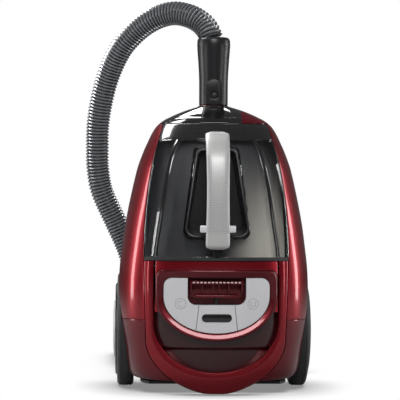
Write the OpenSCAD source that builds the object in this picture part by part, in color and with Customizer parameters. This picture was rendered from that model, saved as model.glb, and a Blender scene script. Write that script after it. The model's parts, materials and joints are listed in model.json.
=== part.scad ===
// Canister vacuum cleaner, parked upright on its tail.
// +Z runs from the tail up to the hose socket, -Y is the upper side with the
// carry handle, +Y is the belly, +X is to the right. The origin is on the floor,
// at the middle of the machine.

/* [Casing] */
// Length of the casing, from the tail to the top of the dome
body_len = 415; // [380:1:500]
// Greatest width of the casing
body_w = 278; // [240:1:334]
// Reach of the casing from its middle plane to its upper side
crown_reach = 112; // [96:1:134]
// Reach of the casing from its middle plane to its belly
belly_reach = 110; // [96:1:132]
// Wall thickness of the casing shells
wall = 3; // [2:0.5:4]
// Gap between neighbouring casing pieces
gap = 0.5; // [0.4:0.1:1]
// Height of the seam between the rear cover and the dust container
seam_z = 190; // [175:1:200]
// Height of the lower edge of the side bands
corner_z = 106; // [95:1:115]
// Length of the nose above the container lid
nose_len = 28; // [22:1:34]
// Length of the container lid
lid_len = 24; // [18:1:30]

/* [Wheels] */
// Radius of the two big wheels over the tyre
wheel_r = 84; // [70:1:90]
// Width of a big wheel
wheel_w = 34; // [26:1:40]
// How far a big wheel stands out past the casing
wheel_out = 8; // [4:1:12]
// Clearance around a big wheel in its arch
arch_gap = 4; // [3:0.5:8]
// Radius of the fixed wheel axles
axle_r = 6; // [4:0.5:8]
// Running clearance of every axle and pivot, on the radius
run_gap = 0.05; // [0.02:0.01:0.1]
// Height of the belly over the floor when the machine rolls
ground_gap = 25; // [22:1:30]
// Radius of the caster wheel
caster_r = 10; // [8:0.5:10.5]

/* [Handle] */
// Width of the carry handle
handle_w = 34; // [28:1:40]
// Thickness of the carry handle
handle_t = 15; // [12:1:18]
// Height of the lower end of the carry handle
handle_low = 207; // [202:1:212]
// Height of the upper end of the carry handle, down from the lid's top
handle_drop = 13; // [8:1:18]

/* [Controls] */
// Width of the control panel opening
panel_w = 164; // [150:1:168]
// Height of the control panel opening's upper edge, down from the seam
panel_drop = 12; // [10:1:16]
// Travel of the two push buttons
button_travel = 3; // [2:0.5:4]
// Travel of the ribbed container latch
latch_travel = 4; // [2:0.5:5]
// Travel of the emptying trigger on the handle
trigger_travel = 5; // [3:0.5:6]

/* [Hose] */
// Outer radius of the hose
hose_r = 18; // [15:0.5:20]
// Bore radius of the hose and its connector
air_r = 15; // [12:0.5:16]
// Length of the connector above the dome
connector_len = 102; // [85:1:115]
// Greatest radius of the connector
connector_r = 24.5; // [22:0.5:28]
// Outer radius of the spigot that takes the wand
spigot_r = 16; // [14:0.5:17]
// Length of the wand spigot
spigot_len = 38; // [30:1:50]

/* [Inside] */
// Radius of the motor
motor_r = 50; // [40:1:52]
// Radius of the cord drum
drum_r = 62; // [50:1:66]
// Width of the cord drum
drum_w = 50; // [36:1:54]
// Radius of the cyclone tube
cyclone_r = 32; // [26:1:34]

/* [Hidden] */

// Heights and depths that follow from the sizes above
lid_top = body_len - nose_len;
lid_z = lid_top - lid_len;
half = body_w / 2;
floor_y = belly_reach + ground_gap;
wheel_y = floor_y - wheel_r;
wheel_z = wheel_r;
wheel_x1 = half + wheel_out;
tread_r = wheel_r - 16;
hub_r = 42;
wheel_x0 = wheel_x1 - wheel_w;
well_x = wheel_x0 - arch_gap;
socket_y = 20;
back_y = 14;
front_y = -crown_reach - 18;
panel_top = seam_z - panel_drop;
panel_half = panel_w / 2;
panel_mid = panel_top - 38;
panel_low = panel_mid - 63;
drum_x = -62;
motor_x = 42;
works_y = 22;

// Tail: outer half width and height of the U-shaped bumper, and the scoop inside it
bumper_half = 107;
bumper_top = 76;
scoop_half = 87;
scoop_mid = 104;
scoop_low = 32;

// Controls: the bezel's width, the tray behind it, the pocket for the latch and the
// split lines of the centre piece
bezel_w = 11;
tray_y = -84;
pocket_half = 41;
pocket_low = 129;
split_top = 25;
split_low = 33;
latch_low = pocket_low + latch_travel + 5;
latch_high = panel_top - 15;
latch_half = pocket_half - 3;
button_back = tray_y - button_travel - 5;
button_x = 52;
button_z = 130;
stem_r = 3;
lens_z = 110;
lens_r = 5.5;
lens_half = 15.5;
lens_y = -100;
latch_y = -100;
tooth_pitch = 5.4;
board_y = -72;
BOARD_POSTS = [[-24, 96], [24, 96], [-24, 146], [24, 146]];

// Inner frame, fan motor and the screws of the belly
bulkhead_z = seam_z - 9;
shelf_z = 36;
plate_z = 12;
shelf_t = 4;
motor_z = shelf_z + 12;
motor_len = 102;
shaft_r = 4;
duct_r = 32;
filter_r = 44;
shelf_half = 52;
mount_r = 30;
post_t = 5;
drum_z = wheel_z + 8;
drum_axle_r = 6;
drum_post = drum_w / 2 + 4;
screw_r = 4;
foot_x = 79;
foot_y = 76;
outlet_y = 20;
outlet_r = 9;
SCREWS = [[-58, 52], [58, 52], [-62, 236], [62, 236], [-44, 352], [44, 352]];

// Dust container, the well for the fingers and the handle over it
container_z = seam_z + 6;
cyclone_y = -26;
well_low = 224;
well_high = 350;
well_low_half = 33;
well_high_half = 22;
well_y = -66;
handle_high = lid_top - handle_drop;
handle_reach = floor_y;
GRIP = [[0, 0.945], [0.15, 0.975], [0.45, 1], [0.75, 0.955], [0.9, 0.845], [1, 0.7]];
trigger_y = 6 - handle_reach;
trigger_z = 231;

// Caster
caster_z = 322;
caster_pin_r = 5;
caster_trail = 9;
caster_axle_r = 2.5;

// Socket, connector and its snap button
collar_r = 23;
neck_r = air_r + 2.5;
snap_r = 4.5;
snap_z = body_len + 16;
snap_floor = socket_y - air_r - 1.2;

// Route of the hose: out of the connector, over in a bow, down behind the left side
// and along the floor in one bend to its grip
ROUTE = [[-4, 20, 517], [-8, 22, 527], [-16, 27, 538], [-28, 33, 547], [-42, 41, 553], [-58, 50, 556],
         [-77, 60, 553], [-97, 70, 544], [-117, 81, 529], [-138, 93, 505], [-155, 107, 470],
         [-166, 118, 431], [-172, 127, 393], [-173, 134, 354], [-172, 139, 323], [-165, 143, 288],
         [-143, 148, 240], [-125, 152, 200], [-113, 157, 160], [-106, 166, 122], [-103, 181, 86],
         [-103, 204, 55], [-105, 237, 31], [-110, 276, 19], [-118, 326, 18], [-125, 380, 18],
         [-129, 440, 18], [-130, 500, 18], [-130, 560, 18], [-116, 612, 18], [-78, 651, 18],
         [-25, 665, 18], [28, 651, 18], [66, 612, 18], [80, 560, 18], [80, 520, 18], [80, 490, 20],
         [80, 465, 22]];
hose_x = 80;
hose_end_y = 465;
grip_z = 22;
// The grip: a cuff, a bend and a straight length that ends in the spigot
cuff_len = 56;
bend_r = 120;
bend_a = 25;
grip_len = 100;

// Outline stations: share of the length, then share of the half width or reach
WIDTHS = [[0, 0.62], [0.029, 0.71], [0.048, 0.835], [0.072, 0.892], [0.154, 0.946], [0.241, 0.986],
          [0.347, 1], [0.43, 0.99], [0.506, 0.964], [0.578, 0.935], [0.667, 0.885], [0.773, 0.813],
          [0.81, 0.777], [0.86, 0.716], [0.925, 0.612], [0.954, 0.5], [0.981, 0.32], [1, 0.14]];
CROWNS = [[0, 0.84], [0.07, 0.92], [0.25, 0.97], [0.45, 1], [0.62, 0.98], [0.75, 0.9],
          [0.85, 0.75], [0.925, 0.53], [0.965, 0.34], [1, 0.12]];
BELLIES = [[0, 0.84], [0.07, 0.95], [0.15, 1], [0.8, 1], [0.88, 0.95], [0.94, 0.82],
           [0.98, 0.6], [1, 0.4]];
// Roundness of the section on the crown side and on the belly side
crown_n = 2.4;
belly_n = 5;

// Smooth curve through stations t at height z
function span_of(u, t, i = 0) = (i >= len(t) - 2 || u < t[i + 1][0]) ? i : span_of(u, t, i + 1);
function slope_at(t, i) =
    let (a = max(i - 1, 0), b = min(i + 1, len(t) - 1)) (t[b][1] - t[a][1]) / (t[b][0] - t[a][0]);
function smooth(u, t) =
    let (i = span_of(u, t), h = t[i + 1][0] - t[i][0], s = max(0, min(1, (u - t[i][0]) / h)))
    (1 + 2 * s) * (1 - s) * (1 - s) * t[i][1] + s * (1 - s) * (1 - s) * h * slope_at(t, i)
    + s * s * (3 - 2 * s) * t[i + 1][1] + s * s * (s - 1) * h * slope_at(t, i + 1);
function half_w(z) = half * smooth(z / body_len, WIDTHS);
function crown(z) = crown_reach * smooth(z / body_len, CROWNS);
function belly(z) = belly_reach * smooth(z / body_len, BELLIES);
function steps(a, b, n) = [for (i = [0 : n]) a + (b - a) * i / n];
function signed_pow(v, p) = sign(v) * pow(abs(v), p);

// Point of the casing's section at height z: angle 0 is right, 90 the crown, 180 left
function skin(z, a, off) =
    let (n = sin(a) >= 0 ? crown_n : belly_n, d = sin(a) >= 0 ? crown(z) : belly(z))
    [(half_w(z) - off) * signed_pow(cos(a), 2 / n), -(d - off) * signed_pow(sin(a), 2 / n), z];
// Angle at which the crown side reaches x
function angle_of(z, x) = acos(pow(min(1, x / half_w(z)), crown_n / 2));
// Inner edge of the side bands
EDGES = [[0, 0.70], [0.46, 0.745], [0.65, 0.72], [0.8, 0.655], [0.93, 0.55], [1, 0.5]];
function band_x(z) = min(half * smooth(z / body_len, EDGES), half_w(z) - wall - 2 * gap);

// Curved panel of the casing between two lists of angles, from depth off to depth off + thick
module panel(zs, from, to, off, thick, na) {
    m = na + 1;
    k = len(zs) * m;
    last = (len(zs) - 1) * m;
    pts = [for (d = [off, off + thick], i = [0 : len(zs) - 1], j = [0 : na])
           skin(zs[i], from[i] + (to[i] - from[i]) * j / na, d)];
    faces = concat(
        [for (i = [0 : len(zs) - 2], j = [0 : na - 1])
         [i * m + j, i * m + j + 1, (i + 1) * m + j + 1, (i + 1) * m + j]],
        [for (i = [0 : len(zs) - 2], j = [0 : na - 1])
         [k + i * m + j, k + (i + 1) * m + j, k + (i + 1) * m + j + 1, k + i * m + j + 1]],
        [for (j = [0 : na - 1]) [j + 1, j, k + j, k + j + 1]],
        [for (j = [0 : na - 1]) [last + j, last + j + 1, k + last + j + 1, k + last + j]],
        [for (i = [0 : len(zs) - 2]) [i * m, (i + 1) * m, k + (i + 1) * m, k + i * m]],
        [for (i = [0 : len(zs) - 2])
         [(i + 1) * m + na, i * m + na, k + i * m + na, k + (i + 1) * m + na]]);
    polyhedron(pts, faces, convexity = 6);
}

// Solid of the casing's form between two heights, drawn in by off
module core(z0, z1, off, nz, na) {
    m = na;
    pts = [for (z = steps(z0, z1, nz), j = [0 : na - 1]) skin(z, 360 * j / na, off)];
    faces = concat(
        [for (i = [0 : nz - 1], j = [0 : na - 1])
         [i * m + j, i * m + (j + 1) % m, (i + 1) * m + (j + 1) % m, (i + 1) * m + j]],
        [[for (j = [0 : na - 1]) na - 1 - j]],
        [[for (j = [0 : na - 1]) nz * m + j]]);
    polyhedron(pts, faces, convexity = 4);
}

// Outline drawn in X and Z, thickened along Y from y0 to y1
module slab(y0, y1) {
    translate([0, y1, 0]) rotate([90, 0, 0]) linear_extrude(height = y1 - y0) children();
}
module rod_x(x0, x1, r, y, z) {
    translate([x0, y, z]) rotate([0, 90, 0]) cylinder(h = x1 - x0, r = r, $fn = 48);
}
module rod_y(y0, y1, r, x, z) {
    translate([x, y0, z]) rotate([-90, 0, 0]) cylinder(h = y1 - y0, r = r, $fn = 48);
}
module rod_z(z0, z1, r, x, y) {
    translate([x, y, z0]) cylinder(h = z1 - z0, r = r, $fn = 48);
}
module block(x0, x1, y0, y1, z0, z1) {
    translate([x0, y0, z0]) cube([x1 - x0, y1 - y0, z1 - z0]);
}
module both() {
    children();
    mirror([1, 0, 0]) children();
}
function ellipse_arc(x, z, rx, rz, a0, a1, n) =
    [for (i = [0 : n]) let (a = a0 + (a1 - a0) * i / n) [x + rx * cos(a), z + rz * sin(a)]];

// Outer and inner line of the U-shaped tail bumper
function bumper_x(z) =
    bumper_half * pow(max(0, 1 - pow(max(0, bumper_top - z) / bumper_top, 1.8)), 1 / 1.8);
function scoop_x(z) =
    scoop_half * sqrt(max(0, 1 - pow(max(0, scoop_mid - z) / (scoop_mid - scoop_low), 2)));
module bumper_outline(grow) {
    polygon([for (i = [0 : 40]) let (a = 180 + i * 4.5)
             [(bumper_half + grow) * signed_pow(cos(a), 2 / 1.8),
              bumper_top + grow + (bumper_top + grow) * signed_pow(sin(a), 2 / 1.8)]]);
}
module scoop_outline(inset) {
    polygon(concat([[-scoop_half + inset, 118], [scoop_half - inset, 118]],
                   ellipse_arc(0, scoop_mid, scoop_half - inset, scoop_mid - scoop_low - inset,
                               0, -180, 28)));
}

// Control panel outline drawn in by inset: square shoulders above, half an ellipse below
module control_outline(inset) {
    w = panel_half - inset;
    top = panel_top - inset;
    r = 12;
    polygon(concat(ellipse_arc(w - r, top - r, r, r, 0, 90, 6),
                   ellipse_arc(-w + r, top - r, r, r, 90, 180, 6),
                   ellipse_arc(0, panel_mid, w, panel_mid - panel_low - inset, 180, 360, 32)));
}
// Outline of the pocket in the middle of the control panel
module pocket_outline(inset) {
    w = pocket_half - inset;
    low = pocket_low + inset;
    r = 12;
    polygon(concat([[w, panel_top + 10], [-w, panel_top + 10]],
                   ellipse_arc(-w + r, low + r, r, r, 180, 270, 6),
                   ellipse_arc(w - r, low + r, r, r, 270, 360, 6)));
}
// Centre piece between the two buttons: split lines that lean outwards
module centre_outline(inset) {
    polygon([[-split_top + inset, pocket_low - 1], [split_top - inset, pocket_low - 1],
             [split_low - inset, panel_low], [-split_low + inset, panel_low]]);
}
module tray_outline(inset) {
    difference() {
        control_outline(bezel_w + inset);
        pocket_outline(-inset);
    }
}
module tail_core(off) {
    core(0, seam_z, off, 12, 56);
}

// Casing
module belly_panel(off, thick) {
    zs = steps(16, lid_top, 15);
    panel(zs, [for (z = zs) 180], [for (z = zs) 360], off, thick, 30);
}
module chassis() {
    color([0.07, 0.07, 0.08]) difference() {
        belly_panel(0, wall);
        both() rod_x(well_x, half + 30, wheel_r + arch_gap, wheel_y, wheel_z);
        rod_y(belly_reach - 12, belly_reach + 2, caster_pin_r + run_gap, 0, caster_z);
        for (p = SCREWS) rod_y(belly_reach - 12, belly_reach + 2, screw_r + 0.3, p[0], p[1]);
    }
}
// Housings of the two big wheels, which carry the axles
module wheel_arches() {
    color([0.07, 0.07, 0.08]) difference() {
        intersection() {
            core(17, seam_z, wall + 0.4, 10, 56);
            both() rod_x(well_x - wall, half, wheel_r + arch_gap + wall, wheel_y, wheel_z);
        }
        belly_panel(-1, wall + 1.1);
        both() {
            rod_x(well_x, half + 1, wheel_r + arch_gap, wheel_y, wheel_z);
            rod_x(well_x - wall - 1, half, axle_r, wheel_y, wheel_z);
        }
    }
}
// Bulkhead, motor shelf, drum posts and caster boss, moulded as one inner frame
module inner_frame() {
    color([0.12, 0.12, 0.13]) difference() {
        union() {
            translate([0, 0, bulkhead_z]) linear_extrude(height = wall)
                polygon([for (a = [0 : 6 : 354]) let (p = skin(bulkhead_z, a, wall + 0.4)) [p[0], p[1]]]);
            block(motor_x - shelf_half, motor_x + shelf_half, works_y - 40, belly(shelf_z) - 11,
                  shelf_z, shelf_z + shelf_t);
            block(drum_x - drum_post - post_t, drum_x - drum_post, works_y - 12, belly_reach - 16,
                  wheel_z, bulkhead_z + 1);
            block(drum_x + drum_post, drum_x + drum_post + post_t, works_y - 12, belly_reach - 12,
                  wheel_z, bulkhead_z + 1);
            block(motor_x - shelf_half - 4, motor_x - shelf_half, works_y, belly_reach - 12,
                  shelf_z, bulkhead_z + 1);
        }
        rod_z(bulkhead_z - 1, bulkhead_z + wall + 1, duct_r, motor_x, works_y);
        rod_z(shelf_z - 1, shelf_z + shelf_t + 1, mount_r - 4, motor_x, works_y);
        rod_x(drum_x - 40, drum_x + 40, drum_axle_r, works_y, drum_z);
    }
}
module caster_boss() {
    color([0.12, 0.12, 0.13]) difference() {
        union() {
            rod_y(belly_reach - 34, belly_reach - wall - 0.5, 11, 0, caster_z);
            block(-30, 30, belly_reach - 34, belly_reach - 31, caster_z - 14, caster_z + 14);
        }
        rod_y(belly_reach - 35, belly_reach, caster_pin_r + run_gap, 0, caster_z);
    }
}
module screws() {
    color("silver") for (p = SCREWS) {
        rod_y(belly_reach - 6.5, belly_reach - 3.5, screw_r, p[0], p[1]);
        rod_y(belly_reach - 20, belly_reach - 6, 2, p[0], p[1]);
    }
}
module tail_plate() {
    color([0.09, 0.09, 0.1]) difference() {
        translate([0, 0, plate_z]) linear_extrude(height = 4)
            polygon([for (a = [0 : 6 : 354]) let (p = skin(16, a, 1)) [p[0], max(p[1], -52)]]);
        for (i = [-6 : 6]) block(motor_x - 20 + i * 9 - 2, motor_x - 20 + i * 9 + 2, -6, 54, 11, 17);
        rod_z(11, 17, outlet_r, drum_x, outlet_y);
    }
}
module parking_feet() {
    color([0.05, 0.05, 0.05]) both() translate([foot_x, foot_y, 0]) rotate_extrude($fn = 48)
        polygon([[0, 0], [9, 0], [11, 2], [11, 12], [0, 12]]);
}
module band(z0, z1) {
    zs = steps(z0, z1, 14);
    difference() {
        panel(zs, [for (z = zs) 0], [for (z = zs) angle_of(z, band_x(z) - wall)], 0, wall, 10);
        rod_x(well_x, half + 30, wheel_r + arch_gap, wheel_y, wheel_z);
        slab(front_y, back_y) bin_outline(-gap, z0 - 2, z1 + 2);
    }
}
module flank_right() {
    color([0.55, 0.03, 0.07]) band(corner_z, lid_top);
}
module flank_left() {
    color([0.55, 0.03, 0.07]) mirror([1, 0, 0]) band(corner_z, lid_top);
}
module corner() {
    zs = steps(20, corner_z - gap, 8);
    inner = [for (z = zs) (z < bumper_top ? bumper_x(z) : band_x(z)) - wall];
    difference() {
        panel(zs, [for (z = zs) 0], [for (i = [0 : 8]) angle_of(zs[i], inner[i])], 0, wall, 12);
        rod_x(well_x, half + 30, wheel_r + arch_gap, wheel_y, wheel_z);
        slab(front_y, -50) {
            bumper_outline(gap);
            bin_outline(-gap, bumper_top, corner_z + 2);
        }
    }
}
module corner_right() {
    color([0.35, 0.03, 0.06]) corner();
}
module corner_left() {
    color([0.35, 0.03, 0.06]) mirror([1, 0, 0]) corner();
}
module rear_cover() {
    zs = steps(bumper_top + gap, seam_z, 8);
    from = [for (z = zs) angle_of(z, band_x(z))];
    color([0.6, 0.04, 0.09]) difference() {
        panel(zs, from, [for (a = from) 180 - a], 0, wall, 30);
        slab(front_y, -40) {
            scoop_outline(-gap);
            control_outline(-gap);
        }
    }
}
module scoop_panel() {
    zs = steps(scoop_low + 2, panel_low - 2, 5);
    from = [for (z = zs) angle_of(z, scoop_x(z) - gap)];
    color([0.25, 0.01, 0.03]) panel(zs, from, [for (a = from) 180 - a], 14, wall, 20);
}
module tail_bumper() {
    color([0.4, 0.02, 0.05]) intersection() {
        core(0, bumper_top, 0, 8, 56);
        slab(front_y, -72) difference() {
            bumper_outline(0);
            scoop_outline(0);
        }
    }
}
module nose_cover() {
    color([0.12, 0.02, 0.03]) difference() {
        core(lid_top + gap, body_len, 0, 8, 56);
        core(lid_top - 1, body_len - wall, wall, 6, 56);
        rod_z(lid_top - 5, body_len + 5, collar_r, 0, socket_y);
    }
}
module socket_collar() {
    color([0.3, 0.02, 0.04]) difference() {
        union() {
            rod_z(body_len - 26, body_len + 0.5, collar_r, 0, socket_y);
            rod_z(body_len - 26, body_len - 22, collar_r + 8, 0, socket_y);
        }
        rod_z(body_len - 27, body_len + 2, neck_r + run_gap, 0, socket_y);
    }
}

// Controls
module control_bezel() {
    color([0.4, 0.02, 0.05]) difference() {
        union() {
            intersection() {
                tail_core(0);
                slab(front_y, tray_y) difference() {
                    control_outline(0);
                    control_outline(bezel_w);
                }
            }
            slab(tray_y, tray_y + wall) intersection() {
                union() {
                    scoop_outline(gap);
                    control_outline(0);
                }
                translate([-120, panel_low]) square([240, 200]);
            }
            for (p = BOARD_POSTS) rod_y(tray_y + 1, board_y, 3, p[0], p[1]);
        }
        both() rod_y(tray_y - 1, tray_y + wall + 1, stem_r + 0.4, button_x, button_z);
        slab(front_y, tray_y) pocket_outline(0);
        rod_y(tray_y - 1, tray_y + wall + 1, 4, 0, lens_z);
    }
}
module push_button(side) {
    intersection() {
        core(70, seam_z, 1, 8, 56);
        slab(front_y, button_back) difference() {
            tray_outline(gap);
            centre_outline(-gap);
            translate([side > 0 ? -200 : 0, 0]) square([200, 300]);
        }
    }
    rod_y(button_back - 2, tray_y + wall + 1.5, stem_r, side * button_x, button_z);
}
module power_button() {
    color([0.78, 0.78, 0.78]) push_button(1);
}
module rewind_button() {
    color([0.78, 0.78, 0.78]) push_button(-1);
}
// Return springs of the two buttons and of the container latch
module control_springs() {
    color("silver") {
        both() difference() {
            rod_y(button_back, tray_y, 5.5, button_x, button_z);
            rod_y(button_back - 1, tray_y + 1, 4, button_x, button_z);
        }
        rod_z(pocket_low, latch_low, 2.5, 0, latch_y + 10);
    }
}
module lens_outline() {
    for (s = [-1, 1]) translate([s * lens_half, lens_z]) circle(r = lens_r, $fn = 32);
    translate([-lens_half, lens_z - lens_r]) square([2 * lens_half, 2 * lens_r]);
}
module centre_panel() {
    color([0.72, 0.72, 0.72]) difference() {
        intersection() {
            core(70, seam_z, 1, 8, 56);
            slab(front_y, tray_y) intersection() {
                tray_outline(gap);
                centre_outline(0);
            }
        }
        slab(front_y, lens_y) lens_outline();
    }
}
module indicator_lens() {
    color([0.02, 0.02, 0.02]) slab(lens_y - 8, lens_y) lens_outline();
}
module container_latch() {
    color([0.35, 0.02, 0.04]) {
        difference() {
            block(-latch_half, latch_half, latch_y, tray_y - 1, latch_low, latch_high);
            block(-latch_half + 3, latch_half - 3, latch_y - 1, latch_y + 8, latch_low + 4, latch_high - 7);
        }
        for (x = [-15, -7, 7, 15])
            block(x - 1, x + 1, latch_y + 2, latch_y + 10, latch_low + 2, latch_high - 5);
        for (i = [-6 : 6]) translate([i * tooth_pitch, 0, 0])
            block(-1.7, 1.7, latch_y - 2.5, latch_y + 0.5, latch_high - 3.5, latch_high);
    }
}
// Dust container and what rides on it
function bin_side(inset, z0, z1) =
    [for (z = steps(z0, z1, 12)) [band_x(z) - inset, z]];
module bin_outline(inset, z0, z1) {
    right = bin_side(inset, z0, z1);
    polygon(concat(right, [for (i = [len(right) - 1 : -1 : 0]) [-right[i][0], right[i][1]]]));
}
module well_outline(inset) {
    a = well_low_half - inset;
    b = well_high_half - inset;
    polygon(concat(ellipse_arc(-a, well_low + 12 + inset, 12, 12, 180, 270, 5),
                   ellipse_arc(a, well_low + 12 + inset, 12, 12, 270, 360, 5),
                   ellipse_arc(b, well_high - 8 - inset, 8, 8, 0, 90, 5),
                   ellipse_arc(-b, well_high - 8 - inset, 8, 8, 90, 180, 5)));
}
module dust_container() {
    color([0.3, 0.3, 0.3, 0.5]) difference() {
        intersection() {
            core(container_z, lid_z, 0, 10, 56);
            slab(front_y, back_y) bin_outline(0, container_z - 1, lid_z + 1);
        }
        intersection() {
            core(container_z - 2, lid_z - wall, wall, 10, 56);
            slab(front_y, back_y - wall) bin_outline(wall, container_z - 3, lid_z);
        }
        slab(front_y, -60) well_outline(-gap);
    }
}
module container_lid() {
    color([0.05, 0.05, 0.06]) difference() {
        intersection() {
            core(lid_z + gap, lid_top, 0, 5, 56);
            slab(front_y, back_y) bin_outline(0, lid_z - 1, lid_top + 1);
        }
        intersection() {
            core(lid_z - 1, lid_top - wall, wall, 5, 56);
            slab(front_y, back_y - wall) bin_outline(wall, lid_z - 2, lid_top);
        }
    }
}
module container_base() {
    color([0.1, 0.1, 0.1]) intersection() {
        core(seam_z + 1, container_z - 1.5, 0.5, 2, 56);
        slab(front_y, back_y) bin_outline(0, seam_z, container_z);
    }
}
module base_seal() {
    color([0.02, 0.02, 0.02]) difference() {
        intersection() {
            core(container_z - 1.5, container_z, 1, 1, 56);
            slab(front_y, back_y - 0.5) bin_outline(0.5, seam_z, container_z + 1);
        }
        intersection() {
            core(container_z - 3, container_z + 1, 6, 1, 56);
            slab(front_y, back_y - 6) bin_outline(6, seam_z, container_z + 2);
        }
    }
}
module finger_well() {
    color([0.03, 0.03, 0.04]) difference() {
        intersection() {
            core(well_low - 5, well_high + 5, 0, 8, 56);
            slab(front_y, well_y) well_outline(0);
        }
        slab(front_y, well_y - wall - 1) well_outline(wall);
    }
}
function grip_y(z) = -handle_reach * smooth((z - handle_low) / (handle_high - handle_low), GRIP);
module grip_outline() {
    w = handle_w / 2;
    polygon(concat(ellipse_arc(0, handle_low + 6, w, 6, 180, 360, 10),
                   ellipse_arc(0, handle_high - 5, w, 5, 0, 180, 10)));
}
module carry_handle() {
    zs = steps(handle_low, handle_high, 16);
    color([0.7, 0.7, 0.7]) difference() {
        union() {
            intersection() {
                translate([-handle_w, 0, 0]) rotate([90, 0, 90]) linear_extrude(height = 2 * handle_w)
                    polygon(concat([for (z = zs) [grip_y(z), z]],
                                   [for (i = [16 : -1 : 0]) [grip_y(zs[i]) + handle_t, zs[i]]]));
                slab(-handle_reach - 1, -60) grip_outline();
            }
            block(-11, 11, grip_y(handle_low + 8) + handle_t - 1, -crown_reach - 0.3,
                  handle_low + 3, handle_low + 13);
            difference() {
                block(-13, 13, grip_y(handle_high - 6) + 4, -40, handle_high - 15, handle_high - 4);
                core(lid_z - 12, lid_top, 0, 6, 56);
            }
        }
        block(-40, 40, trigger_y - 0.6, trigger_y + 7.6, trigger_z - trigger_travel - 1, trigger_z + 11);
    }
}
module empty_trigger() {
    color([0.6, 0.6, 0.6]) translate([0, trigger_y, trigger_z]) {
        translate([-25, 0, 0]) cube([50, 7, 10]);
    }
}
module trigger_spring() {
    color("silver") rod_z(trigger_z - trigger_travel - 1, trigger_z, 2, 0, trigger_y + 3.5);
}
module cyclone_tube() {
    color([0.6, 0.58, 0.52]) translate([0, cyclone_y, container_z]) rotate_extrude($fn = 64)
        polygon([[cyclone_r - 8, 2], [cyclone_r - 6, 2], [cyclone_r, 60],
                 [cyclone_r, lid_z - container_z - 4], [cyclone_r - 2, lid_z - container_z - 4],
                 [cyclone_r - 2, 60]]);
}
module mesh_shroud() {
    color([0.5, 0.5, 0.5]) difference() {
        rod_z(container_z + 70, container_z + 120, cyclone_r + 3, 0, cyclone_y);
        rod_z(container_z + 69, container_z + 121, cyclone_r + 1, 0, cyclone_y);
        for (a = [0 : 30 : 330]) translate([0, cyclone_y, container_z + 78]) rotate([0, 0, a + 15])
            translate([cyclone_r - 6, -4, 0]) cube([14, 8, 34]);
    }
}

// Motor, filters and cord drum
// Foam disc of the motor filter in its moulded rim
module motor_filter() {
    color([0.9, 0.9, 0.88]) translate([motor_x, works_y, bulkhead_z + wall]) rotate_extrude($fn = 64)
        polygon([[0, 0], [filter_r, 0], [filter_r, 5], [filter_r - 4, 5], [filter_r - 4, 4.5], [0, 4.5]]);
}
module motor_mounts() {
    color([0.05, 0.05, 0.05]) translate([motor_x, works_y, shelf_z + shelf_t]) rotate_extrude($fn = 64)
        polygon([[mount_r, 0], [mount_r + 12, 0], [mount_r + 12, motor_z - shelf_z - shelf_t],
                 [mount_r, motor_z - shelf_z - shelf_t]]);
}
module motor() {
    color([0.5, 0.5, 0.52]) translate([motor_x, works_y, motor_z]) rotate_extrude($fn = 64)
        polygon([[0, 0], [motor_r - 8, 0], [motor_r - 8, 62], [motor_r, 66], [motor_r, motor_len],
                 [30, motor_len], [30, motor_len - 2], [motor_r - 2.5, motor_len - 2],
                 [motor_r - 2.5, 72], [shaft_r, 72],
                 [shaft_r, 94], [0, 94]]);
}
module impeller() {
    color([0.7, 0.7, 0.72]) translate([motor_x, works_y, motor_z + 74]) {
        difference() {
            union() {
                cylinder(h = 2, r = motor_r - 6, $fn = 64);
                cylinder(h = 18, r = 9, $fn = 48);
                for (a = [0 : 45 : 315]) rotate([0, 0, a]) translate([8, -1, 0])
                    cube([motor_r - 16, 2, 14]);
            }
            translate([0, 0, -1]) cylinder(h = 30, r = shaft_r + run_gap, $fn = 48);
        }
    }
}
module motor_seal() {
    color([0.05, 0.05, 0.05]) translate([motor_x, works_y, motor_z + motor_len]) rotate_extrude($fn = 64)
        polygon([[duct_r + 1, 0], [duct_r + 6, 0], [duct_r + 6, bulkhead_z - motor_z - motor_len],
                 [duct_r + 1, bulkhead_z - motor_z - motor_len]]);
}
module drum_axle() {
    reach = drum_post + post_t;
    color("silver") rod_x(drum_x - reach, drum_x + reach, drum_axle_r, works_y, drum_z);
}
module cord_drum() {
    color([0.15, 0.15, 0.16]) translate([drum_x - drum_w / 2, works_y, drum_z]) rotate([0, 90, 0])
        rotate_extrude($fn = 64) polygon([[drum_axle_r + run_gap, 0], [drum_r, 0], [drum_r, 3], [30, 3],
            [30, drum_w - 3], [drum_r, drum_w - 3], [drum_r, drum_w], [drum_axle_r + run_gap, drum_w]]);
}
module cord_outlet() {
    color([0.03, 0.03, 0.03]) translate([drum_x, outlet_y, 9]) rotate_extrude($fn = 48)
        polygon([[5, 0], [outlet_r + 2, 0], [outlet_r + 3, 3], [outlet_r, 3], [outlet_r, 10], [5, 10]]);
}
module circuit_board() {
    color([0.05, 0.3, 0.12]) {
        block(-34, 34, board_y, board_y + 1.6, 88, 154);
        block(-22, 8, board_y + 1.6, board_y + 14, 100, 124);
    }
}
module exhaust_filter() {
    color([0.85, 0.85, 0.82]) block(motor_x - 64, motor_x + 46, -14, 60, plate_z + 4, shelf_z - 4);
}

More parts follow.
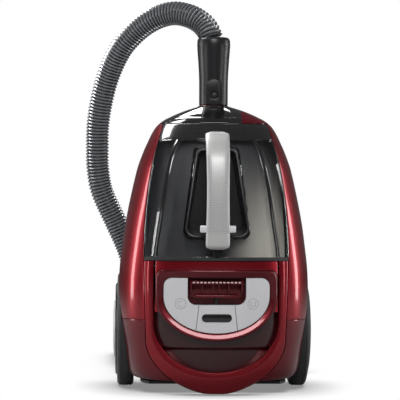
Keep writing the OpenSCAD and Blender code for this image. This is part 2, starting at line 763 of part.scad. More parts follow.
// Wheels
module at_wheel() {
    translate([wheel_x0, wheel_y, wheel_z]) rotate([0, 90, 0]) children();
}
module wheel() {
    at_wheel() rotate_extrude($fn = 96) polygon([[axle_r + run_gap, 0], [16, 0], [16, 10], [tread_r - 4, 10],
        [tread_r - 4, 2], [tread_r, 2], [tread_r, wheel_w - 5], [tread_r - 14, wheel_w - 3],
        [hub_r, wheel_w - 3], [hub_r, wheel_w - 7], [axle_r + run_gap, wheel_w - 7]]);
}
module wheel_right() {
    color([0.1, 0.1, 0.11]) wheel();
}
module wheel_left() {
    color([0.1, 0.1, 0.11]) mirror([1, 0, 0]) wheel();
}
module tyre() {
    at_wheel() rotate_extrude($fn = 96) polygon([[tread_r, 2], [wheel_r - 4, 2], [wheel_r, 7],
        [wheel_r, wheel_w - 12], [wheel_r - 5, wheel_w - 7], [tread_r, wheel_w - 5]]);
}
module tyre_right() {
    color([0.06, 0.06, 0.06]) tyre();
}
module tyre_left() {
    color([0.06, 0.06, 0.06]) mirror([1, 0, 0]) tyre();
}
module hubcap() {
    at_wheel() rotate_extrude($fn = 96)
        polygon([[0, wheel_w - 2.5], [30, wheel_w - 2.5], [30, wheel_w - 7], [hub_r, wheel_w - 7],
                 [hub_r, wheel_w - 2], [hub_r - 8, wheel_w], [0, wheel_w]]);
}
module hubcap_right() {
    color([0.3, 0.3, 0.32]) hubcap();
}
module hubcap_left() {
    color([0.3, 0.3, 0.32]) mirror([1, 0, 0]) hubcap();
}
module wheel_axles() {
    color("silver") both() {
        rod_x(well_x - wall - 6, wheel_x1 - 9, axle_r, wheel_y, wheel_z);
        rod_x(well_x - wall - 6, well_x - wall, axle_r + 7, wheel_y, wheel_z);
    }
}

// Caster
module caster_fork() {
    color([0.12, 0.12, 0.13]) difference() {
        union() {
            rod_y(belly_reach - 30, belly_reach + 2, caster_pin_r, 0, caster_z);
            rod_y(belly(caster_z) + 0.6, belly_reach + 3.5, 17, 0, caster_z);
            both() block(8, 11, belly_reach + 3, floor_y - 7,
                         caster_z - caster_trail - 4, caster_z - caster_trail + 4);
        }
        rod_x(-12, 12, caster_axle_r, floor_y - caster_r, caster_z - caster_trail);
    }
}
module caster_axle() {
    color("silver") rod_x(-11, 11, caster_axle_r, floor_y - caster_r, caster_z - caster_trail);
}
module caster_wheel() {
    color([0.06, 0.06, 0.06]) difference() {
        rod_x(-7, 7, caster_r, floor_y - caster_r, caster_z - caster_trail);
        rod_x(-8, 8, caster_axle_r + run_gap, floor_y - caster_r, caster_z - caster_trail);
    }
}

// Hose
module hose_connector() {
    color([0.06, 0.06, 0.07]) difference() {
        union() {
            translate([0, socket_y, body_len]) rotate_extrude($fn = 64)
                polygon(concat([[air_r, -28], [neck_r, -28], [neck_r, 0.8], [connector_r - 3.5, 0.8],
                                [connector_r - 3.5, 38], [connector_r, connector_len - 20]],
                               ellipse_arc(connector_r - 6, connector_len - 6, 6, 6, 0, 90, 6),
                               [[air_r, connector_len]]));
            translate([0, socket_y - connector_r + 8, 0]) slab(-6, 0) {
                translate([-13, body_len + 1]) square([26, 26]);
                translate([0, body_len + 27]) circle(r = 13, $fn = 48);
            }
        }
        rod_z(body_len - 29, body_len + connector_len + 1, air_r, 0, socket_y);
        rod_y(-20, snap_floor, snap_r + 0.5, 0, snap_z);
    }
}
module connector_button() {
    color([0.05, 0.05, 0.05]) rod_y(socket_y - connector_r + 0.5, snap_floor - 2.2, snap_r, 0, snap_z);
}
function cubic(p, t) =
    let (a = 2 * p[1], b = p[2] - p[0], c = 2 * p[0] - 5 * p[1] + 4 * p[2] - p[3],
         d = -p[0] + 3 * p[1] - 3 * p[2] + p[3]) 0.5 * (a + b * t + c * t * t + d * t * t * t);
function route_at(i, t) =
    cubic([ROUTE[max(i - 1, 0)], ROUTE[i], ROUTE[i + 1], ROUTE[min(i + 2, len(ROUTE) - 1)]], t);
function unit(v) = v / norm(v);
module hose() {
    n = 10;
    pts = concat([for (i = [0 : len(ROUTE) - 2], t = [0, 0.5]) route_at(i, t)], [ROUTE[len(ROUTE) - 1]]);
    k = len(pts);
    dirs = [for (i = [0 : k - 1]) i == 0 ? [0, 0, 1] : i == k - 1 ? [0, -1, 0]
            : unit(pts[i + 1] - pts[i - 1])];
    // Each side vector is the last one, turned as little as the route turns
    sides = [for (i = 0, s = [0, 1, 0]; i < k;
                  i = i + 1, s = i < k ? unit(s - (s * dirs[i]) * dirs[i]) : s) s];
    rings = [for (i = [0 : k - 1]) let (s = sides[i], u = cross(dirs[i], s))
             for (j = [0 : n - 1]) pts[i] + hose_r * (cos(360 * j / n) * s + sin(360 * j / n) * u)];
    faces = concat(
        [for (i = [0 : k - 2], j = [0 : n - 1])
         [i * n + j, (i + 1) * n + j, (i + 1) * n + (j + 1) % n, i * n + (j + 1) % n]],
        [[for (j = [0 : n - 1]) j]],
        [[for (j = [0 : n - 1]) (k - 1) * n + n - 1 - j]]);
    color([0.25, 0.25, 0.26]) polyhedron(rings, faces, convexity = 10);
}
module hose_cuff() {
    color([0.06, 0.06, 0.07]) difference() {
        rod_y(hose_end_y - cuff_len, hose_end_y, grip_z, hose_x, grip_z);
        rod_y(hose_end_y - cuff_len - 1, hose_end_y + 1, air_r, hose_x, grip_z);
    }
}
// Places children at the centre of the bend, which turns outwards
module at_bend() {
    translate([hose_x + bend_r, hose_end_y - cuff_len, grip_z]) mirror([1, 0, 0])
        rotate([0, 0, -bend_a]) children();
}
// Places children at the end of the bend, with +Z along the straight grip
module at_grip() {
    at_bend() translate([bend_r, 0, 0]) rotate([90, 0, 0]) children();
}
module hose_grip() {
    color([0.06, 0.06, 0.07]) difference() {
        union() {
            at_bend() rotate_extrude(angle = bend_a, $fn = 96) translate([bend_r, 0]) difference() {
                circle(r = hose_r, $fn = 48);
                circle(r = air_r, $fn = 48);
            }
            at_grip() difference() {
                cylinder(h = grip_len, r = hose_r, $fn = 48);
                translate([0, 0, -1]) cylinder(h = grip_len + 2, r = air_r, $fn = 48);
            }
        }
        at_grip() translate([-5, air_r - 3, 30]) cube([10, 10, 22]);
    }
}
module suction_slider() {
    color([0.3, 0.3, 0.32]) at_grip() difference() {
        translate([-9, hose_r - 3.5, 26]) cube([18, 7, 24]);
        translate([0, 0, 20]) cylinder(h = 40, r = hose_r + 0.3, $fn = 48);
    }
}
module wand_spigot() {
    color([0.6, 0.6, 0.62]) at_grip() difference() {
        translate([0, 0, grip_len]) cylinder(h = spigot_len, r = spigot_r, $fn = 48);
        translate([0, 0, grip_len - 1]) cylinder(h = spigot_len + 2, r = air_r - 1, $fn = 48);
    }
}

chassis();
wheel_arches();
inner_frame();
caster_boss();
tail_plate();
flank_left();
flank_right();
corner_left();
corner_right();
rear_cover();
control_bezel();
scoop_panel();
tail_bumper();
nose_cover();
socket_collar();
power_button();
rewind_button();
centre_panel();
indicator_lens();
control_springs();
container_latch();
dust_container();
container_lid();
container_base();
base_seal();
finger_well();
carry_handle();
empty_trigger();
trigger_spring();
cyclone_tube();
mesh_shroud();
motor_filter();
motor_seal();
motor();
motor_mounts();
impeller();
cord_drum();
drum_axle();
cord_outlet();
circuit_board();
exhaust_filter();
wheel_left();
wheel_right();
tyre_left();
tyre_right();
hubcap_left();
hubcap_right();
wheel_axles();
caster_fork();
caster_wheel();
caster_axle();
parking_feet();
screws();
hose_connector();
connector_button();
hose();
hose_cuff();
hose_grip();
suction_slider();
wand_spigot();
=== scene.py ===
# %% [markdown]
# # A canister vacuum cleaner, standing parked on its tail
# The machine is made of moulded casings over a frame that already exists as a
# CAD model. The CAD model gives every place and size, and this lesson adds the
# looks: smooth lacquered shells, a smoked dust container and a ribbed hose.
# First the frame is loaded, and its pieces are kept, so that sizes can be read from their boxes.

# %% Load the frame
import bpy, bmesh, json, math
import numpy as np
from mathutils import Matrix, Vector


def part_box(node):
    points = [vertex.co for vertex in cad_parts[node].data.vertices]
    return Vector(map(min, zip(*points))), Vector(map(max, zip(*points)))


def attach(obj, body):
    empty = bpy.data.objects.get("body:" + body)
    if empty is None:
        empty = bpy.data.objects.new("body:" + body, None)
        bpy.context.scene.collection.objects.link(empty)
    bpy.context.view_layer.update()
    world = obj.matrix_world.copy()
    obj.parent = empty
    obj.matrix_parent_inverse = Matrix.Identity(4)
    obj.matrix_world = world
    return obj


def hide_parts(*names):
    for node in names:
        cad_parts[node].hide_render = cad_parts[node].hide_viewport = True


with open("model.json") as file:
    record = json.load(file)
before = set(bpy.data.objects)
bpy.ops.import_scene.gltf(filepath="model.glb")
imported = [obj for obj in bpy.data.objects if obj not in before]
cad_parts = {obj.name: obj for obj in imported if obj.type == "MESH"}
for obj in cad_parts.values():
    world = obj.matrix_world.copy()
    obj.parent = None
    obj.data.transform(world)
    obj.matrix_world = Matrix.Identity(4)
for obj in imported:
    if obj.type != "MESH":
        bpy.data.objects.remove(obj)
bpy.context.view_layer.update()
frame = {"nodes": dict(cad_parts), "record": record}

# %% [markdown]
# ## Camera and floor
# A product picture of a tall object is taken from a few metres away with a long
# lens, because a short lens would swell whatever is nearest. The camera looks
# straight at the middle of the casing, a little from the left. The floor is one
# large pale sheet, which shows the camera a glow darkened by ambient occlusion
# near the machine: a painted contact shadow.

# %% Camera
scene = bpy.context.scene
scene.view_settings.view_transform = "Standard"
camera_distance = 2.6
frame_width = 0.588
look_at = Vector((-0.0200, 0, 0.2767))
side_angle = math.radians(-2.5)
camera_data = bpy.data.cameras.new("camera")
camera_data.lens = 36 * camera_distance / frame_width
camera = bpy.data.objects.new("camera", camera_data)
scene.collection.objects.link(camera)
camera.location = look_at + Vector((math.sin(side_angle), -math.cos(side_angle), 0)) * camera_distance
camera.rotation_euler = (math.radians(90), math.radians(-0.3), side_angle)
scene.camera = camera

# %% [markdown]
# ## Small helpers
# Two habits come back all through the lesson: picking one object, and adding a
# shader node with its inputs set. An input is either a value or a socket of
# another node, and one helper takes both.

# %% Helpers for selection and nodes
def deselect():
    """Leaves object mode with nothing selected and nothing active."""
    if bpy.context.object and bpy.context.object.mode != "OBJECT":
        bpy.ops.object.mode_set(mode="OBJECT")
    bpy.ops.object.select_all(action="DESELECT")


def activate(obj):
    """Makes obj the only selected object and the active one."""
    deselect()
    obj.select_set(True)
    bpy.context.view_layer.objects.active = obj
    return obj


def set_inputs(tree, node, inputs):
    """Sets inputs of a node: a socket is linked, and anything else is a value."""
    for key, value in inputs.items():
        if hasattr(value, "is_output"):
            tree.links.new(value, node.inputs[key])
        else:
            node.inputs[key].default_value = value


def add_node(tree, kind, inputs=None, **settings):
    """Adds a shader node of a kind with its settings and its inputs."""
    node = tree.nodes.new("ShaderNode" + kind)
    for name, value in settings.items():
        setattr(node, name, value)
    set_inputs(tree, node, inputs or {})
    return node


def object_place(tree):
    return add_node(tree, "TexCoord").outputs["Object"]


def split_by_camera(tree, lighting, seen, output):
    """Shows one shader to the camera and the other to all other rays."""
    ray = add_node(tree, "LightPath")
    mix = add_node(tree, "MixShader", {"Fac": ray.outputs["Is Camera Ray"],
                                       1: lighting.outputs[0], 2: seen.outputs[0]})
    add_node(tree, output, {"Surface": mix.outputs[0]})


# %% Floor
deselect()
bpy.ops.mesh.primitive_plane_add(size=60, location=(0, 0, -0.0006))
floor = bpy.context.object
floor.name = "floor"
floor_paint = bpy.data.materials.new("floor_paint")
floor_paint.use_nodes = True
tree = floor_paint.node_tree
tree.nodes.clear()
# The camera sees an emission that ambient occlusion darkens near the machine: a painted contact shadow.
contact = add_node(tree, "AmbientOcclusion", {"Distance": 0.09}, samples=12)
shade = add_node(tree, "MapRange", {"Value": contact.outputs["AO"], "From Min": 0.25,
                                    "From Max": 0.9, "To Min": 0.25})
painted_shadow_glow = add_node(tree, "Emission", {"Strength": shade.outputs["Result"]})
matt = add_node(tree, "BsdfDiffuse", {"Color": (0.35, 0.35, 0.35, 1)})
split_by_camera(tree, matt, painted_shadow_glow, "OutputMaterial")
floor.data.materials.append(floor_paint)

# %% [markdown]
# ## Light
# Gloss shows the lights themselves, so each light is a softbox with a purpose:
# two upright strips draw the long highlights down the flanks, and one above
# draws the arc on the nose. The world stays white behind the object and grey
# in its reflections, or the lacquer would look milky.

# %% Softboxes and world
def softbox(name, place, aim, width, height, power):
    """A rectangular area light at place, facing aim."""
    data = bpy.data.lights.new(name, "AREA")
    data.shape = "RECTANGLE"
    data.size, data.size_y = width, height
    data.energy = power
    lamp = bpy.data.objects.new(name, data)
    scene.collection.objects.link(lamp)
    lamp.location = place
    lamp.rotation_euler = (Vector(aim) - Vector(place)).to_track_quat("-Z", "Y").to_euler()
    return lamp


softbox("side_left", (-1.5, 0.3, 0.35), (0, 0, 0.22), 0.22, 1.3, 8)
softbox("side_right", (1.5, 0.3, 0.35), (0, 0, 0.22), 0.22, 1.3, 8)
softbox("edge_left", (-1.45, -0.75, 0.2), (0, 0, 0.15), 0.12, 0.8, 3.2)
softbox("edge_right", (1.45, -0.75, 0.2), (0, 0, 0.15), 0.12, 0.8, 3.2)
softbox("overhead", (-0.45, 0.66, 1.5), (0, 0, 0.38), 1.5, 0.42, 32)
softbox("front_fill", (0.0, -2.4, 2.0), (0, 0, 0.2), 1.2, 0.8, 44)
world = bpy.data.worlds.new("studio")
scene.world = world
world.use_nodes = True
tree = world.node_tree
tree.nodes.clear()
seen = add_node(tree, "Background", {"Color": (1, 1, 1, 1), "Strength": 1.0})
lighting = add_node(tree, "Background", {"Color": (1, 1, 1, 1), "Strength": 0.1})
split_by_camera(tree, lighting, seen, "OutputWorld")

# %% [markdown]
# ## Finishes
# A finish is a shader plus the small irregular things that a real surface has.
# Fine moulded grain, settled dust and rubbed edges come back on many pieces, so
# each is built once as a node group with named inputs and outputs, and every
# material places it with its own values. What is the same all over a surface
# is set on the shader's own socket.

# %% Node groups
def new_group(name, inputs, outputs):
    """An empty node group, with a default for each input and a kind for each output."""
    group = bpy.data.node_groups.new(name, "ShaderNodeTree")
    for label, default in inputs.items():
        kind = "NodeSocketColor" if isinstance(default, tuple) else "NodeSocketFloat"
        socket = group.interface.new_socket(name=label, in_out="INPUT", socket_type=kind)
        socket.default_value = default
    for label, kind in outputs.items():
        group.interface.new_socket(name=label, in_out="OUTPUT", socket_type=kind)
    return group, group.nodes.new("NodeGroupInput"), group.nodes.new("NodeGroupOutput")


def noise(tree, scale, detail, place):
    node = add_node(tree, "TexNoise", {"Vector": place, "Scale": scale, "Detail": detail})
    return node.outputs["Fac"]


def math_node(tree, operation, a, b):
    """One Math node whose inputs are sockets or plain numbers."""
    return add_node(tree, "Math", {0: a, 1: b}, operation=operation).outputs[0]


def mixed(tree, mask, low_colour, high_colour):
    """Goes from the first colour to the second as the mask goes from 0 to 1."""
    node = add_node(tree, "Mix", {"Factor": mask, "A": low_colour, "B": high_colour}, data_type="RGBA")
    return node.outputs["Result"]


def make_grain():
    """Moulded grain: small bumps, with a roughness that wanders a little."""
    group, gin, gout = new_group(
        "grain", {"Scale": 900.0, "Depth": 0.1, "Roughness": 0.5, "Spread": 0.08},
        {"Roughness": "NodeSocketFloat", "Normal": "NodeSocketVector"})
    place = object_place(group)
    bump = add_node(group, "Bump", {"Strength": gin.outputs["Depth"], "Distance": 0.0004,
                                    "Height": noise(group, gin.outputs["Scale"], 2.0, place)})
    centred = math_node(group, "SUBTRACT", noise(group, 14.0, 3.0, place), 0.5)
    swing = math_node(group, "MULTIPLY", centred, gin.outputs["Spread"])
    rough = math_node(group, "ADD", gin.outputs["Roughness"], swing)
    set_inputs(group, gout, {"Roughness": rough, "Normal": bump.outputs["Normal"]})
    return group


def make_wear():
    """Colour that pales on rubbed edges and carries a trace of dust on top faces."""
    group, gin, gout = new_group(
        "wear", {"Color": (0.5, 0.5, 0.5, 1), "Worn": (0.6, 0.6, 0.6, 1), "Edge": 0.25, "Dust": 0.05},
        {"Color": "NodeSocketColor"})
    geometry = add_node(group, "NewGeometry")
    place = object_place(group)
    edge = add_node(group, "MapRange", {"Value": geometry.outputs["Pointiness"],
                                        "From Min": 0.52, "From Max": 0.6})
    rubbed = math_node(group, "MULTIPLY", edge.outputs["Result"], noise(group, 60.0, 4.0, place))
    rubbed = math_node(group, "MULTIPLY", rubbed, gin.outputs["Edge"])
    rubbed_colour = mixed(group, rubbed, gin.outputs["Color"], gin.outputs["Worn"])
    facing = add_node(group, "SeparateXYZ", {"Vector": geometry.outputs["Normal"]})
    up = math_node(group, "MAXIMUM", facing.outputs["Z"], 0.0)
    dusty = math_node(group, "MULTIPLY", up, noise(group, 350.0, 2.0, place))
    dusty = math_node(group, "MULTIPLY", dusty, gin.outputs["Dust"])
    dusted = mixed(group, dusty, rubbed_colour, (0.6, 0.58, 0.55, 1))
    set_inputs(group, gout, {"Color": dusted})
    return group


grain_group = make_grain()
wear_group = make_wear()
print("node groups", [g.name for g in bpy.data.node_groups])

# %% [markdown]
# ## The materials themselves
# The casing is a candy lacquer: a deep red base with fine metal flakes under a
# clear coat, so it is nearly black where it faces away from the lights and pink
# where it catches them. The black parts are either polished or moulded with a
# grain, and the dust container is a smoked clear plastic that lets light
# through.

# %% Material helpers
def principled_of(material):
    return next(n for n in material.node_tree.nodes if n.type == "BSDF_PRINCIPLED")


def new_material(name, scale, depth, rough, spread):
    """A Principled material whose roughness and bumps come from the grain group."""
    material = bpy.data.materials.new(name)
    material.use_nodes = True
    tree = material.node_tree
    skin = add_node(tree, "Group", {"Scale": scale, "Depth": depth, "Roughness": rough,
                                    "Spread": spread}, node_tree=grain_group)
    set_inputs(tree, principled_of(material), {"Roughness": skin.outputs["Roughness"],
                                               "Normal": skin.outputs["Normal"]})
    return material


def finish(name, color, rough=0.4, metal=0.0, coat=0.0, coat_rough=0.05, grain=(900, 0.08, 0.06),
           worn=None, edge=0.2, dust=0.04, sheen=0.0):
    """A finish with grain (scale, depth, spread) and wear, from the shared groups."""
    material = new_material(name, grain[0], grain[1], rough, grain[2])
    worn = worn or [min(1, c * 1.8 + 0.05) for c in color]
    wear = add_node(material.node_tree, "Group", {"Color": (*color, 1), "Worn": (*worn, 1),
                                                  "Edge": edge, "Dust": dust}, node_tree=wear_group)
    set_inputs(material.node_tree, principled_of(material), {
        "Base Color": wear.outputs["Color"], "Metallic": metal, "Coat Weight": coat,
        "Coat Roughness": coat_rough, "Sheen Weight": sheen})
    return material


def lacquer(name, color, glint, rough=0.3):
    """Candy lacquer: flakes vary the base colour under a clear coat."""
    material = finish(name, color, rough=rough, metal=0.75, coat=0.6, coat_rough=0.06,
                      grain=(2600, 0.03, 0.05), edge=0.1, dust=0.03)
    tree = material.node_tree
    wear = next(n for n in tree.nodes if n.type == "GROUP" and n.node_tree == wear_group)
    flakes = add_node(tree, "TexVoronoi", {"Vector": object_place(tree), "Scale": 2200})
    chance = add_node(tree, "SeparateColor", {"Color": flakes.outputs["Color"]})
    ramp = add_node(tree, "ValToRGB", {"Fac": chance.outputs[0]})
    ramp.color_ramp.elements[0].color = (*color, 1)
    ramp.color_ramp.elements[1].color = (*glint, 1)
    set_inputs(tree, wear, {"Color": ramp.outputs["Color"]})
    return material


def clear_plastic(name, color):
    """Smoked clear plastic with faint moulding waves."""
    material = new_material(name, 30, 0.03, 0.04, 0.03)
    tree = material.node_tree
    shader = principled_of(material)
    set_inputs(tree, shader, {"Base Color": (*color, 1), "Transmission Weight": 1.0, "IOR": 1.4})
    # Rays from the lamps pass straight through, so that what is inside is lit
    let_in = add_node(tree, "BsdfTransparent", {"Color": (*color, 1)})
    ray = add_node(tree, "LightPath")
    either = add_node(tree, "MixShader", {"Fac": ray.outputs["Is Shadow Ray"],
                                          1: shader.outputs[0], 2: let_in.outputs[0]})
    set_inputs(tree, tree.nodes["Material Output"], {"Surface": either.outputs[0]})
    return material


# %% The finishes of this machine
red = lacquer("red_lacquer", (0.2, 0.0015, 0.007), (0.32, 0.004, 0.015))
deep_red = lacquer("deep_red_lacquer", (0.1, 0.002, 0.007), (0.16, 0.004, 0.012), rough=0.38)
dark_red = finish("dark_red_plastic", (0.03, 0.001, 0.003), rough=0.35, coat=0.4, grain=(1500, 0.04, 0.05))
gloss_black = finish("gloss_black", (0.006, 0.006, 0.007), rough=0.16, coat=0.8,
                     grain=(2000, 0.02, 0.04), dust=0.06)
moulded_black = finish("moulded_black", (0.016, 0.016, 0.018), rough=0.48, grain=(1100, 0.35, 0.1),
                       worn=(0.08, 0.08, 0.08), edge=0.3)
satin_black = finish("satin_black", (0.012, 0.012, 0.014), rough=0.34, grain=(1600, 0.12, 0.08),
                     worn=(0.07, 0.07, 0.07))
silver = finish("satin_silver", (0.76, 0.76, 0.78), rough=0.42, metal=0.2, grain=(3000, 0.06, 0.06),
                worn=(0.5, 0.5, 0.51), edge=0.15)
rubber = finish("tyre_rubber", (0.02, 0.02, 0.021), rough=0.62, grain=(700, 0.4, 0.12),
                worn=(0.07, 0.07, 0.07), dust=0.15, sheen=0.1)
steel = finish("turned_steel", (0.55, 0.55, 0.56), rough=0.3, metal=1.0, grain=(1800, 0.1, 0.1))
motor_metal = finish("cast_motor", (0.42, 0.42, 0.44), rough=0.45, metal=0.9, grain=(600, 0.4, 0.12))
beige = finish("cyclone_beige", (0.5, 0.48, 0.42), rough=0.4, grain=(900, 0.1, 0.08))
paper = finish("filter_paper", (0.75, 0.74, 0.7), rough=0.85, grain=(400, 0.6, 0.08), dust=0.2)
board = finish("board_green", (0.02, 0.13, 0.05), rough=0.35, coat=0.3, grain=(800, 0.15, 0.1))
smoked = clear_plastic("smoked_clear", (0.8, 0.8, 0.81))
print("finishes made:", len(bpy.data.materials))

# %% [markdown]
# ## Finishes with a place
# Four finishes change over the piece: the dome is black on one side of its seam
# and red on the other, the inner wall is beige with painted shade to the left and
# towards the top, the handle has its dots, the signs are plain small prints and
# the teeth carry a pale painted highlight. Each mixes by position.

# %% Finishes that change over the piece
def position_mask(material, axis, start, end):
    """A value that goes from 0 to 1 between two places along an axis of the object."""
    tree = material.node_tree
    split = add_node(tree, "SeparateXYZ", {0: object_place(tree)})
    ramp = add_node(tree, "MapRange", {"Value": split.outputs[axis], "From Min": start,
                                       "From Max": end}, interpolation_type="SMOOTHSTEP")
    return ramp.outputs["Result"]


def multiplied(material, a, b):
    return math_node(material.node_tree, "MULTIPLY", a, b)


def colour_by(material, mask, low_colour, high_colour):
    """Gives a material a base colour that follows a mask."""
    colour = mixed(material.node_tree, mask, (*low_colour, 1), (*high_colour, 1))
    set_inputs(material.node_tree, principled_of(material), {"Base Color": colour})


def dot_mask(material, pitch, low, high):
    """A square pattern of dots in X and Z, between two heights."""
    tree = material.node_tree
    split = add_node(tree, "SeparateXYZ", {0: object_place(tree)})
    flat = add_node(tree, "CombineXYZ", {"X": split.outputs["X"], "Y": split.outputs["Z"]})
    cells = add_node(tree, "TexVoronoi", voronoi_dimensions="2D")
    set_inputs(tree, cells, {"Vector": flat.outputs[0], "Scale": 1 / pitch, "Randomness": 0.0})
    dot = add_node(tree, "MapRange", {"Value": cells.outputs["Distance"], "From Min": 0.36,
                                      "From Max": 0.22})
    ends = multiplied(material, position_mask(material, "Z", low, low + 0.004),
                      position_mask(material, "Z", high, high - 0.004))
    return multiplied(material, dot.outputs["Result"], ends)


dome_finish = finish("dome_finish", (0.008, 0.008, 0.009), rough=0.1, grain=(900, 0.01, 0.02),
                     coat=1.0, coat_rough=0.04)
dome_mask = position_mask(dome_finish, "X", 0.0375, 0.0385)
colour_by(dome_finish, dome_mask, (0.008, 0.008, 0.009), (0.09, 0.002, 0.008))
dome_coat = position_mask(dome_finish, "X", 0.0385, 0.0375)
set_inputs(dome_finish.node_tree, principled_of(dome_finish), {"Coat Weight": dome_coat})

inner_wall = finish("inner_wall", (0.03, 0.03, 0.032), rough=0.45, grain=(700, 0.02, 0.05))
# Painted shade: the beige wall is painted darker to the left and towards the top.
wall_painted_light_mask = multiplied(inner_wall, position_mask(inner_wall, "X", 0.005, 0.075),
                       position_mask(inner_wall, "Z", 0.35, 0.2))
colour_by(inner_wall, wall_painted_light_mask, (0.03, 0.031, 0.034), (0.52, 0.5, 0.43))

handle_finish = finish("handle_finish", (0.5, 0.5, 0.495), rough=0.45, metal=0.35, grain=(1100, 0.02, 0.04))
handle_dots = dot_mask(handle_finish, 0.0024, 0.228, 0.342)
colour_by(handle_finish, handle_dots, (0.6, 0.6, 0.595), (0.38, 0.38, 0.38))
sign_grey = finish("sign_grey", (0.34, 0.34, 0.35), rough=0.45, grain=(800, 0.01, 0.03))
# The teeth's pale pink is a painted highlight along the latch's upper edge.
tooth_painted_highlight = finish("tooth_painted_highlight", (0.9, 0.62, 0.64), rough=0.3, grain=(800, 0.01, 0.03))

# %% [markdown]
# ## The form of the casing
# All the shells lie on one surface, so it is written down once. At each height
# it has a half width, a reach to the crown side and a reach to the belly side,
# each a smooth curve through a few stations, and a squashed ellipse joins them.
# The stations are shares of the overall sizes, which are read from the frame.

# %% The form as functions
low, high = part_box("flank_right")
half_width = high.x
body_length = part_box("nose_cover")[1].z
belly_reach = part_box("chassis")[1].y
crown_reach = -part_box("rear_cover")[0].y / 0.997
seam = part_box("rear_cover")[1].z
corner_top = low.z
lid_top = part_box("container_lid")[1].z
lid_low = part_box("container_lid")[0].z
WIDTHS = [(0, 0.62), (0.029, 0.71), (0.048, 0.835), (0.072, 0.892), (0.154, 0.946), (0.241, 0.986),
          (0.347, 1), (0.43, 0.99), (0.506, 0.964), (0.578, 0.935), (0.667, 0.885), (0.773, 0.813),
          (0.81, 0.777), (0.86, 0.716), (0.925, 0.612), (0.954, 0.5), (0.981, 0.32), (1, 0.14)]
CROWNS = [(0, 0.84), (0.07, 0.92), (0.25, 0.97), (0.45, 1), (0.62, 0.98), (0.75, 0.9),
          (0.85, 0.75), (0.925, 0.53), (0.965, 0.34), (1, 0.12)]
BELLIES = [(0, 0.84), (0.07, 0.95), (0.15, 1), (0.8, 1), (0.88, 0.95), (0.94, 0.82), (0.98, 0.6), (1, 0.4)]
EDGES = [(0, 0.70), (0.46, 0.745), (0.65, 0.72), (0.8, 0.655), (0.93, 0.55), (1, 0.5)]
GROOVES = [(0, 0.63), (0.46, 0.63), (0.6, 0.575), (0.72, 0.525), (0.83, 0.45), (0.88, 0.38), (0.94, 0.3),
           (1, 0.2)]
crown_power = 2.4
belly_power = 5


def smooth(u, stations):
    """Value at u of the smooth curve through the stations."""
    last = len(stations) - 2
    i = next((k for k in range(last) if u < stations[k + 1][0]), last)

    def slope(k):
        a, b = stations[max(k - 1, 0)], stations[min(k + 1, len(stations) - 1)]
        return (b[1] - a[1]) / (b[0] - a[0])

    h = stations[i + 1][0] - stations[i][0]
    s = max(0, min(1, (u - stations[i][0]) / h))
    return ((1 + 2 * s) * (1 - s) ** 2 * stations[i][1] + s * (1 - s) ** 2 * h * slope(i)
            + s * s * (3 - 2 * s) * stations[i + 1][1] + s * s * (s - 1) * h * slope(i + 1))


def half_at(z):
    return half_width * smooth(z / body_length, WIDTHS)


def crown_at(z):
    return crown_reach * smooth(z / body_length, CROWNS)


def belly_at(z):
    return belly_reach * smooth(z / body_length, BELLIES)


def band_at(z):
    return half_width * smooth(z / body_length, EDGES)


def groove_at(z):
    return half_width * smooth(z / body_length, GROOVES)


def signed_power(value, exponent):
    """Raises the size of a value and keeps its sign, which squares off a circle."""
    return math.copysign(abs(value) ** exponent, value)


def skin(z, angle, off=0.0):
    """Point of the form at height z; angle 0 is right, 90 the crown and 180 left, in degrees."""
    c, s = math.cos(math.radians(angle)), math.sin(math.radians(angle))
    power, reach = (crown_power, crown_at(z)) if s >= 0 else (belly_power, belly_at(z))
    return Vector((signed_power(c, 2 / power) * (half_at(z) - off),
                   -signed_power(s, 2 / power) * (reach - off), z))


def angle_of(z, x):
    return math.degrees(math.acos(min(1, x / half_at(z)) ** (crown_power / 2)))


def front(x, z, off=0.0):
    """Point of the crown side over (x, z), sunk by off."""
    a = half_at(z) - off
    share = min(0.999, abs(x) / a)
    return Vector((x, -(crown_at(z) - off) * (1 - share ** crown_power) ** (1 / crown_power), z))


print("form", round(half_width, 4), round(body_length, 4), round(crown_reach, 4), round(belly_reach, 4))

# %% [markdown]
# ## Modelling helpers
# Most shells start as a flat grid that is laid onto the form, given a wall with
# Solidify and eased edges with Bevel. Turned pieces start as a profile that is
# spun. Each helper below is one of those habits.

# %% Helpers for pieces
def apply_modifiers(obj):
    activate(obj)
    for modifier in list(obj.modifiers):
        bpy.ops.object.modifier_apply(modifier=modifier.name)


def ease(obj, width, segments=2, angle=35):
    """Rounds the sharp edges of obj and shades it smooth."""
    bevel = obj.modifiers.new("ease", "BEVEL")
    bevel.width, bevel.segments = width, segments
    bevel.limit_method, bevel.angle_limit = "ANGLE", math.radians(angle)
    bevel.harden_normals = False
    apply_modifiers(obj)
    bpy.ops.object.shade_smooth_by_angle(angle=math.radians(40))
    return obj


def settle(obj):
    """Puts the object's place into its mesh, so that the object sits at the origin."""
    activate(obj)
    bpy.ops.object.transform_apply(location=True, rotation=True, scale=True)
    return obj


def edit_all(obj, *steps):
    """Runs mesh steps in edit mode with everything selected."""
    activate(obj)
    bpy.ops.object.mode_set(mode="EDIT")
    for step in steps:
        bpy.ops.mesh.select_all(action="SELECT")
        step()
    bpy.ops.object.mode_set(mode="OBJECT")
    return obj


def weld():
    bpy.ops.mesh.remove_doubles(threshold=0.00001)


def turn_out():
    bpy.ops.mesh.normals_make_consistent(inside=False)


def named(name, body, material, replaces=()):
    """Names the active object, gives it its finish and lets it ride on its body."""
    obj = bpy.context.view_layer.objects.active
    obj.name = obj.data.name = name
    obj.data.materials.clear()
    obj.data.materials.append(material)
    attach(obj, body)
    if replaces:
        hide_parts(*replaces)
    return obj


